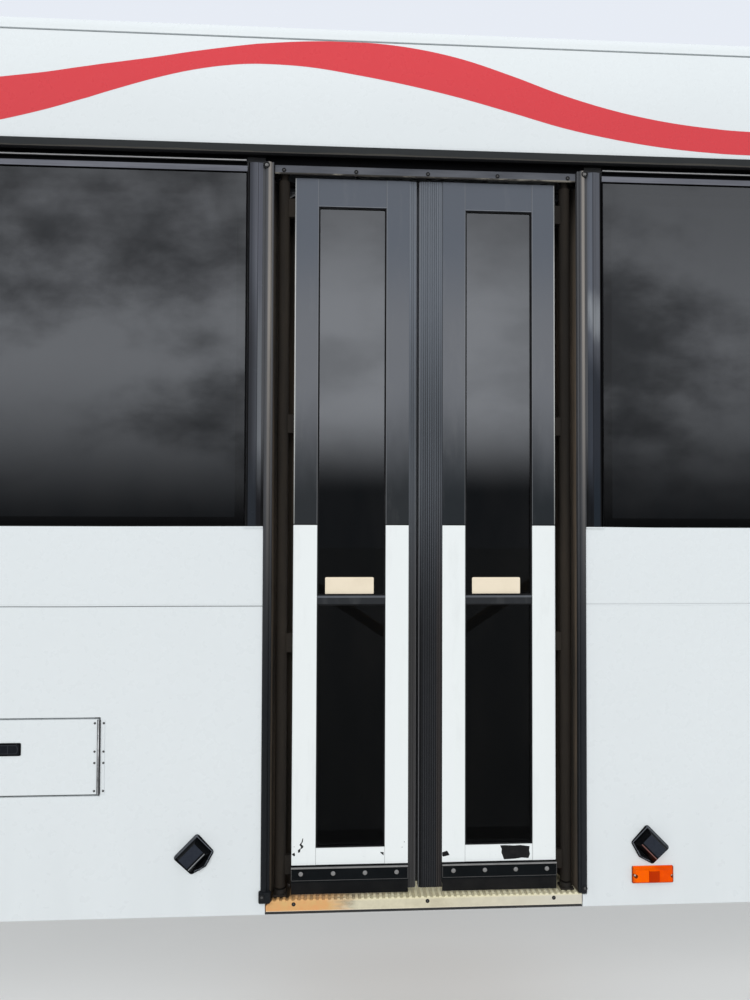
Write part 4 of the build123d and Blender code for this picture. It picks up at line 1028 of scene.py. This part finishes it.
def smooth_rows(rows, steps):
    """Rows of values with smooth ones put between them."""
    made = []
    for n in range(len(rows) - 1):
        near = [rows[max(n - 1, 0)], rows[n], rows[n + 1], rows[min(n + 2, len(rows) - 1)]]
        for k in range(steps):
            share = k / steps
            x = rows[n][0] + (rows[n + 1][0] - rows[n][0]) * share
            made.append([x] + [between(*(row[i] for row in near), share) for i in (1, 2)])
    made.append(list(rows[-1]))
    return made


top_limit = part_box("cove_panel")[1].z - 0.0005
stripe_mesh = bmesh.new()
rings = []
for x, top, low in smooth_rows(STRIPE, STRIPE_STEPS):
    top = min(top, top_limit)
    corners = ((top, 0), (low, 0), (low, FILM), (top, FILM))
    rings.append([stripe_mesh.verts.new((x, SKIN_Y - out, z)) for z, out in corners])
bridge(stripe_mesh, rings)
add_piece("stripe_film", finish_mesh(stripe_mesh, "stripe_film"), "stripe", "bodyside")


# Outside: header strip, jamb beads, sweep strips, nosing, flap and marker lamp
STRIP_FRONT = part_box("left_sweep_strip")[0].y
HEADER_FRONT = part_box("header_strip")[0].y
GLASS_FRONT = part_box("left_leaf_glass")[0].y
UPRIGHT_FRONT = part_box("left_leaf_uprights")[0].y
RAIL_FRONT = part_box("left_leaf_rails")[0].y
BEAD_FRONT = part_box("jamb_beads")[0].y

header_places = [(x, HEADER_FRONT, 1.9968) for x in (-0.3883, -0.193, 0.0031, 0.1952, 0.3911)]
bead_tops = [(-0.4342, SKIN_Y - 0.002, 2.0035), (0.4350, SKIN_Y - 0.002, 2.0035)]
bead_feet = [(-0.433, BEAD_FRONT, 0.062), (0.4290, SKIN_Y - 0.0075, 0.064)]
nosing_places = [(x, SKIN_Y, 0.0370) for x in (-0.3504, 0.0048, 0.3466)]
for name, places, radius, height, centre, tone in (
    ("header", header_places, 0.0056, 0.0016, 0.0026, "dull_steel"),
    ("bead_top", bead_tops, 0.0092, 0.0080, 0.0044, "screw"),
    ("bead_foot", bead_feet, 0.0070, 0.0022, 0.0036, "dull_steel"),
    ("nosing", nosing_places, 0.0052, 0.0008, 0.0022, "dull_steel"),
):
    add_heads(f"{name}_cups", "plastic", "cup", places, radius, height)
    seats = [(x, y - 0.4 * height, z) for x, y, z in places]
    add_heads(f"{name}_screws", tone, "screw", seats, centre, 0.6 * height)

SCREW_X = {"left": (-0.3327, -0.2467, -0.1617, -0.0771), "right": (0.0764, 0.1616, 0.2459, 0.3311)}
END_WIDE = 0.0013
for side, places in SCREW_X.items():
    body = f"{side}_leaf"
    low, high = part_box(f"{side}_sweep_strip")
    heads = [(x, STRIP_FRONT, 0.1097) for x in places]
    add_heads(f"{side}_strip_screws", "screw", "rivet", heads, 0.0062, 0.0020, OUTSIDE, body)
    bars = (
        ("top", "screw", high.z + 0.0016, high.z + 0.0052, high.y),
        ("low", "dull_steel", low.z + 0.0036, low.z + 0.0050, STRIP_FRONT),
    )
    for place, tone, bottom, top, back in bars:
        front = STRIP_FRONT - 0.0003
        edge = ((back, bottom), (front, bottom + 0.0002), (front, top - 0.0002), (back, top))
        add_bar(f"{side}_strip_{place}_edge", tone, (low.x, high.x), edge, body)
    ends = [rounded(x, x + END_WIDE, low.z + 0.004, high.z, 0.0004) for x in (low.x, high.x - END_WIDE)]
    add_films(f"{side}_strip_end_edges", "dull_steel", ends, STRIP_FRONT, 0.0003, body)

PLATE_REACH = SKIN_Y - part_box("flap_latch")[0].y - 0.0003
plate = rounded(-1.148, LATCH_END, 0.436, 0.469, 0.0035)
add_films("latch_plate", "latch", [plate], SKIN_Y, PLATE_REACH, "flap")

RIVET_REACH = 0.0115
RIVET_Z = (0.518, 0.4445, 0.415, 0.3425)
LEAF_FACE = SKIN_Y - 0.0015
for name, step, body in (
    ("flap_rivets", -RIVET_REACH, "flap"),
    ("hinge_rivets", RIVET_REACH, "bodyside"),
):
    places = [(HINGE_X + step, LEAF_FACE, z) for z in RIVET_Z]
    add_heads(name, "dull_steel", "rivet", places, 0.0031, 0.0014, OUTSIDE, body)

marker_places = [(MARKER_X + step, SKIN_Y - 0.005, MARKER_Z) for step in (-MARKER_SCREW, MARKER_SCREW)]
add_heads("marker_screws", "pale_screw", "rivet", marker_places, 0.0030, 0.0024)

# Sealant in the seams under the waist panels, and their rolled top edges before the window frames
PANEL_REACH = (0.4378, 1.8800)
SEAM_FILL = (0.8196, 0.8264)
FRAME_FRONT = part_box("window_frames")[0].y
WAIST_TOP = 1.03005
seams = []
low, high = SEAM_FILL
for sign in (-1, 1):
    start, end = sorted(sign * x for x in PANEL_REACH)
    seams.append([(start, low), (end, low), (end, high), (start, high)])
add_films("seam_sealant", "sealant", seams, SKIN_Y + 0.0095, 0.009)
lips = (
    ((-1.84, WAIST_TOP), (-0.4892, WAIST_TOP), (-0.4892, 1.0334), (-0.85, 1.0321), (-1.84, 1.0321)),
    ((0.4892, WAIST_TOP), (1.84, WAIST_TOP), (1.84, 1.0327), (0.63, 1.0327), (0.4892, 1.0340)),
)
add_films("waist_lips", "panel", lips, FRAME_FRONT, 0.0008)
LIP_BACK = SKIN_Y + 0.0005
LIP_REACH = LIP_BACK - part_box("pillar_trims")[0].y + 0.0004
lip_ends = (
    ((-0.4891, WAIST_TOP), (-0.4379, WAIST_TOP), (-0.4379, 1.0336), (-0.4891, 1.0334)),
    ((0.4379, WAIST_TOP), (0.4891, WAIST_TOP), (0.4891, 1.0340), (0.4379, 1.0340)),
)
add_films("waist_lip_ends", "panel", lip_ends, LIP_BACK, LIP_REACH)

# White flange over the flap, standing behind the gap along its top edge
FLANGE_X = (-1.190, -0.876)
flap_flange = (
    (-0.1079, 0.5335),
    (-0.1079, 0.5480),
    (-0.1015, 0.5480),
    (-0.1015, 0.5220),
    (-0.1030, 0.5220),
    (-0.1030, 0.5335),
)
add_bar("flap_flange", "panel", FLANGE_X, flap_flange)

# Blank labels on the upper panes, and chipped paint low on the leaves
LABELS = {"left": (-0.2720, -0.1405, 0.8496, 0.8960), "right": (0.1290, 0.2618, 0.8496, 0.8955)}
for side, place in LABELS.items():
    outline = rounded(*place, 0.0035)
    add_films(f"{side}_label", "label", [outline], GLASS_FRONT, 0.0003, f"{side}_leaf")

CHIP = 0.00015
right_rail_chip = [
    (0.2050, 0.1709),
    (0.2180, 0.1713),
    (0.2420, 0.1698),
    (0.2610, 0.1706),
    (0.2857, 0.1672),
    (0.2846, 0.1560),
    (0.2868, 0.1462),
    (0.2826, 0.1352),
    (0.2650, 0.1369),
    (0.2440, 0.1343),
    (0.2153, 0.1332),
    (0.2121, 0.1420),
    (0.2083, 0.1520),
    (0.2091, 0.1610),
]
crack = (
    (-0.3280, 0.2005, 0.0010),
    (-0.3295, 0.1912, 0.0018),
    (-0.3344, 0.1845, 0.0026),
    (-0.3294, 0.1794, 0.0030),
    (-0.3304, 0.1751, 0.0034),
    (-0.3372, 0.1711, 0.0034),
    (-0.3378, 0.1637, 0.0026),
)
crack_outline = [(x - wide, z - 0.3 * wide) for x, z, wide in crack]
crack_outline += [(x + wide, z + 0.3 * wide) for x, z, wide in reversed(crack)]
left_chips = [
    crack_outline,
    ((-0.3570, 0.1594), (-0.3500, 0.1636), (-0.3478, 0.1568), (-0.3512, 0.1536)),
    ragged(-0.3508, 0.1790, 0.0010),
    ragged(-0.0560, 0.1860, 0.0012),
    ragged(-0.0620, 0.1720, 0.0010),
]
left_rail_chip = ((-0.1215, 0.1603), (-0.1116, 0.1594), (-0.1116, 0.1510), (-0.1176, 0.1558))
right_edge_chip = ((0.0468, 0.156), (0.06, 0.16), (0.0672, 0.1482), (0.05, 0.1444), (0.0468, 0.147))
for name, outlines, front, body in (
    ("right_rail_chip", [right_rail_chip], RAIL_FRONT, "right_leaf"),
    ("right_edge_chip", [right_edge_chip], UPRIGHT_FRONT, "right_leaf"),
    ("left_chips", left_chips, UPRIGHT_FRONT, "left_leaf"),
    ("left_rail_chip", [left_rail_chip], RAIL_FRONT, "left_leaf"),
):
    add_films(name, "bare_patch", outlines, front, CHIP, body)

# Inside: grab rail flanges, cover, linings and the edge strip of the floor covering
GRAB_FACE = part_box("left_leaf_uprights")[1].y + 0.004
GRAB_SCREWS = 3
GRAB_REACH = 0.0185
for side, sign in (("left", -1), ("right", 1)):
    places = []
    for x, z in ((0.32615, 0.882), (0.07765, 0.716)):
        for n in range(GRAB_SCREWS):
            angle = math.tau * n / GRAB_SCREWS + math.pi / 2
            across = sign * x + GRAB_REACH * math.cos(angle)
            places.append((across, GRAB_FACE, z + GRAB_REACH * math.sin(angle)))
    name = f"{side}_flange_screws"
    add_heads(name, "dull_steel", "screw", places, 0.0032, 0.0018, INSIDE, f"{side}_leaf")

COVER_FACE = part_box("operator_housing")[1].y
COVER_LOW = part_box("operator_cover")[0].z
COVER_HINGE_Z = 2.1995
latch_places = [(x, COVER_FACE, COVER_LOW + 0.022) for x in (-0.4, 0.0, 0.4)]
add_heads("cover_latches", "dull_steel", "cup", latch_places, 0.012, 0.003, INSIDE, "cover")
HINGE_END = 0.56
KNUCKLES = 5
KNUCKLE_PITCH = 2 * HINGE_END / KNUCKLES
for first, body, step in ((0, "bodyside", 0.014), (1, "cover", -0.014)):
    places = []
    for n in range(first, KNUCKLES, 2):
        start = -HINGE_END + n * KNUCKLE_PITCH
        for share in (0.25, 0.75):
            places.append((start + share * KNUCKLE_PITCH, COVER_FACE + 0.0015, COVER_HINGE_Z + step))
    name = "cover_hinge_screws" if body == "cover" else "housing_hinge_screws"
    add_heads(name, "dull_steel", "screw", places, 0.0036, 0.0018, INSIDE, body)

LINING_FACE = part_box("low_linings")[1].y
LINING_END = 1.845
BUTTONS = 7
lining_places = []
for row, first in ((0.085, 0.475), (1.015, 0.475), (2.0, 0.64), (2.285, 0.64)):
    for n in range(BUTTONS):
        x = first + n * (LINING_END - first) / (BUTTONS - 1)
        lining_places += [(-x, LINING_FACE, row), (x, LINING_FACE, row)]
add_heads("lining_buttons", "lining", "rivet", lining_places, 0.007, 0.0025, INSIDE)

TREAD_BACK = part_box("threshold")[1].y
COVERING_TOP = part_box("floor_covering")[1].z
COVERING_X = (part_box("floor_covering")[0].x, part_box("floor_covering")[1].x)
edge_strip = (
    (TREAD_BACK - 0.004, COVERING_TOP),
    (TREAD_BACK - 0.002, COVERING_TOP + 0.0012),
    (TREAD_BACK + 0.006, COVERING_TOP + 0.0018),
    (TREAD_BACK + 0.016, COVERING_TOP + 0.0018),
    (TREAD_BACK + 0.024, COVERING_TOP + 0.0010),
    (TREAD_BACK + 0.026, COVERING_TOP),
)
add_bar("covering_edge_strip", "bare", COVERING_X, edge_strip)
strip_places = [(x, TREAD_BACK + 0.011, COVERING_TOP + 0.0018) for x in (-0.39, -0.195, 0, 0.195, 0.39)]
add_heads("covering_screws", "dull_steel", "screw", strip_places, 0.0038, 0.0014, UPWARDS)


# Floor, background and light
FLOOR_HALF = 30.0
FLOOR_TONE = (0.72, 0.72, 0.71, 1)
FLOOR_WORN = (0.6, 0.6, 0.6, 1)
PALE = (0.80, 0.84, 0.91, 1)
SKY_TONE = (0.95, 0.98, 1.0, 1)
SKY_STRENGTH = 0.70
SOFTNESS = math.radians(50)


def make_floor():
    f = Finish("floor")
    f.set(Base_Color=f.mix(f.drifting(3, 0, 0.06), FLOOR_TONE, FLOOR_WORN), Roughness=0.7)
    bm = bmesh.new()
    bmesh.ops.create_grid(bm, x_segments=1, y_segments=1, size=FLOOR_HALF)
    mesh = bpy.data.meshes.new("floor")
    bm.to_mesh(mesh)
    bm.free()
    floor = bpy.data.objects.new("floor", mesh)
    floor.location.z = GROUND_Z
    bpy.context.scene.collection.objects.link(floor)
    mesh.materials.append(f.material)


def make_world():
    """Even soft light, with a pale background for the camera, gloss and glass."""
    world = bpy.data.worlds.new("studio")
    bpy.context.scene.world = world
    world.use_nodes = True
    tree = world.node_tree
    tree.nodes.clear()
    out = tree.nodes.new("ShaderNodeOutputWorld")
    light = tree.nodes.new("ShaderNodeBackground")
    light.inputs["Color"].default_value = SKY_TONE
    light.inputs["Strength"].default_value = SKY_STRENGTH
    pale = tree.nodes.new("ShaderNodeBackground")
    pale.inputs["Color"].default_value = PALE
    pale.inputs["Strength"].default_value = 1.0
    path = tree.nodes.new("ShaderNodeLightPath")
    seen = path.outputs["Is Camera Ray"]
    for name in ("Is Glossy Ray", "Is Transmission Ray"):
        either = tree.nodes.new("ShaderNodeMath")
        either.operation = "MAXIMUM"
        tree.links.new(seen, either.inputs[0])
        tree.links.new(path.outputs[name], either.inputs[1])
        seen = either.outputs[0]
    mix = tree.nodes.new("ShaderNodeMixShader")
    tree.links.new(seen, mix.inputs[0])
    tree.links.new(light.outputs[0], mix.inputs[1])
    tree.links.new(pale.outputs[0], mix.inputs[2])
    tree.links.new(mix.outputs[0], out.inputs[0])


def add_lamp(name, kind, place, target, power, **settings):
    """Lamp aimed at a target, which no camera, gloss or glass sees as a shape."""
    data = bpy.data.lights.new(name, kind)
    data.energy = power
    for key, value in settings.items():
        setattr(data, key, value)
    lamp = bpy.data.objects.new(name, data)
    bpy.context.scene.collection.objects.link(lamp)
    lamp.location = place
    aim = Vector(target) - Vector(place)
    lamp.rotation_euler = aim.to_track_quat("-Z", "Y").to_euler()
    lamp.visible_camera = False
    lamp.visible_glossy = False
    lamp.visible_transmission = False


make_floor()
make_world()
add_lamp("sky_soft", "SUN", (-1.0, -4.0, 3.6), (0, 0, 1.0), 1.32, angle=SOFTNESS)
add_lamp("inside_soft", "SUN", (1.0, 4.0, 3.4), (0, 0, 1.0), 0.7, angle=SOFTNESS)

scene = bpy.context.scene
scene.view_settings.view_transform = "Standard"
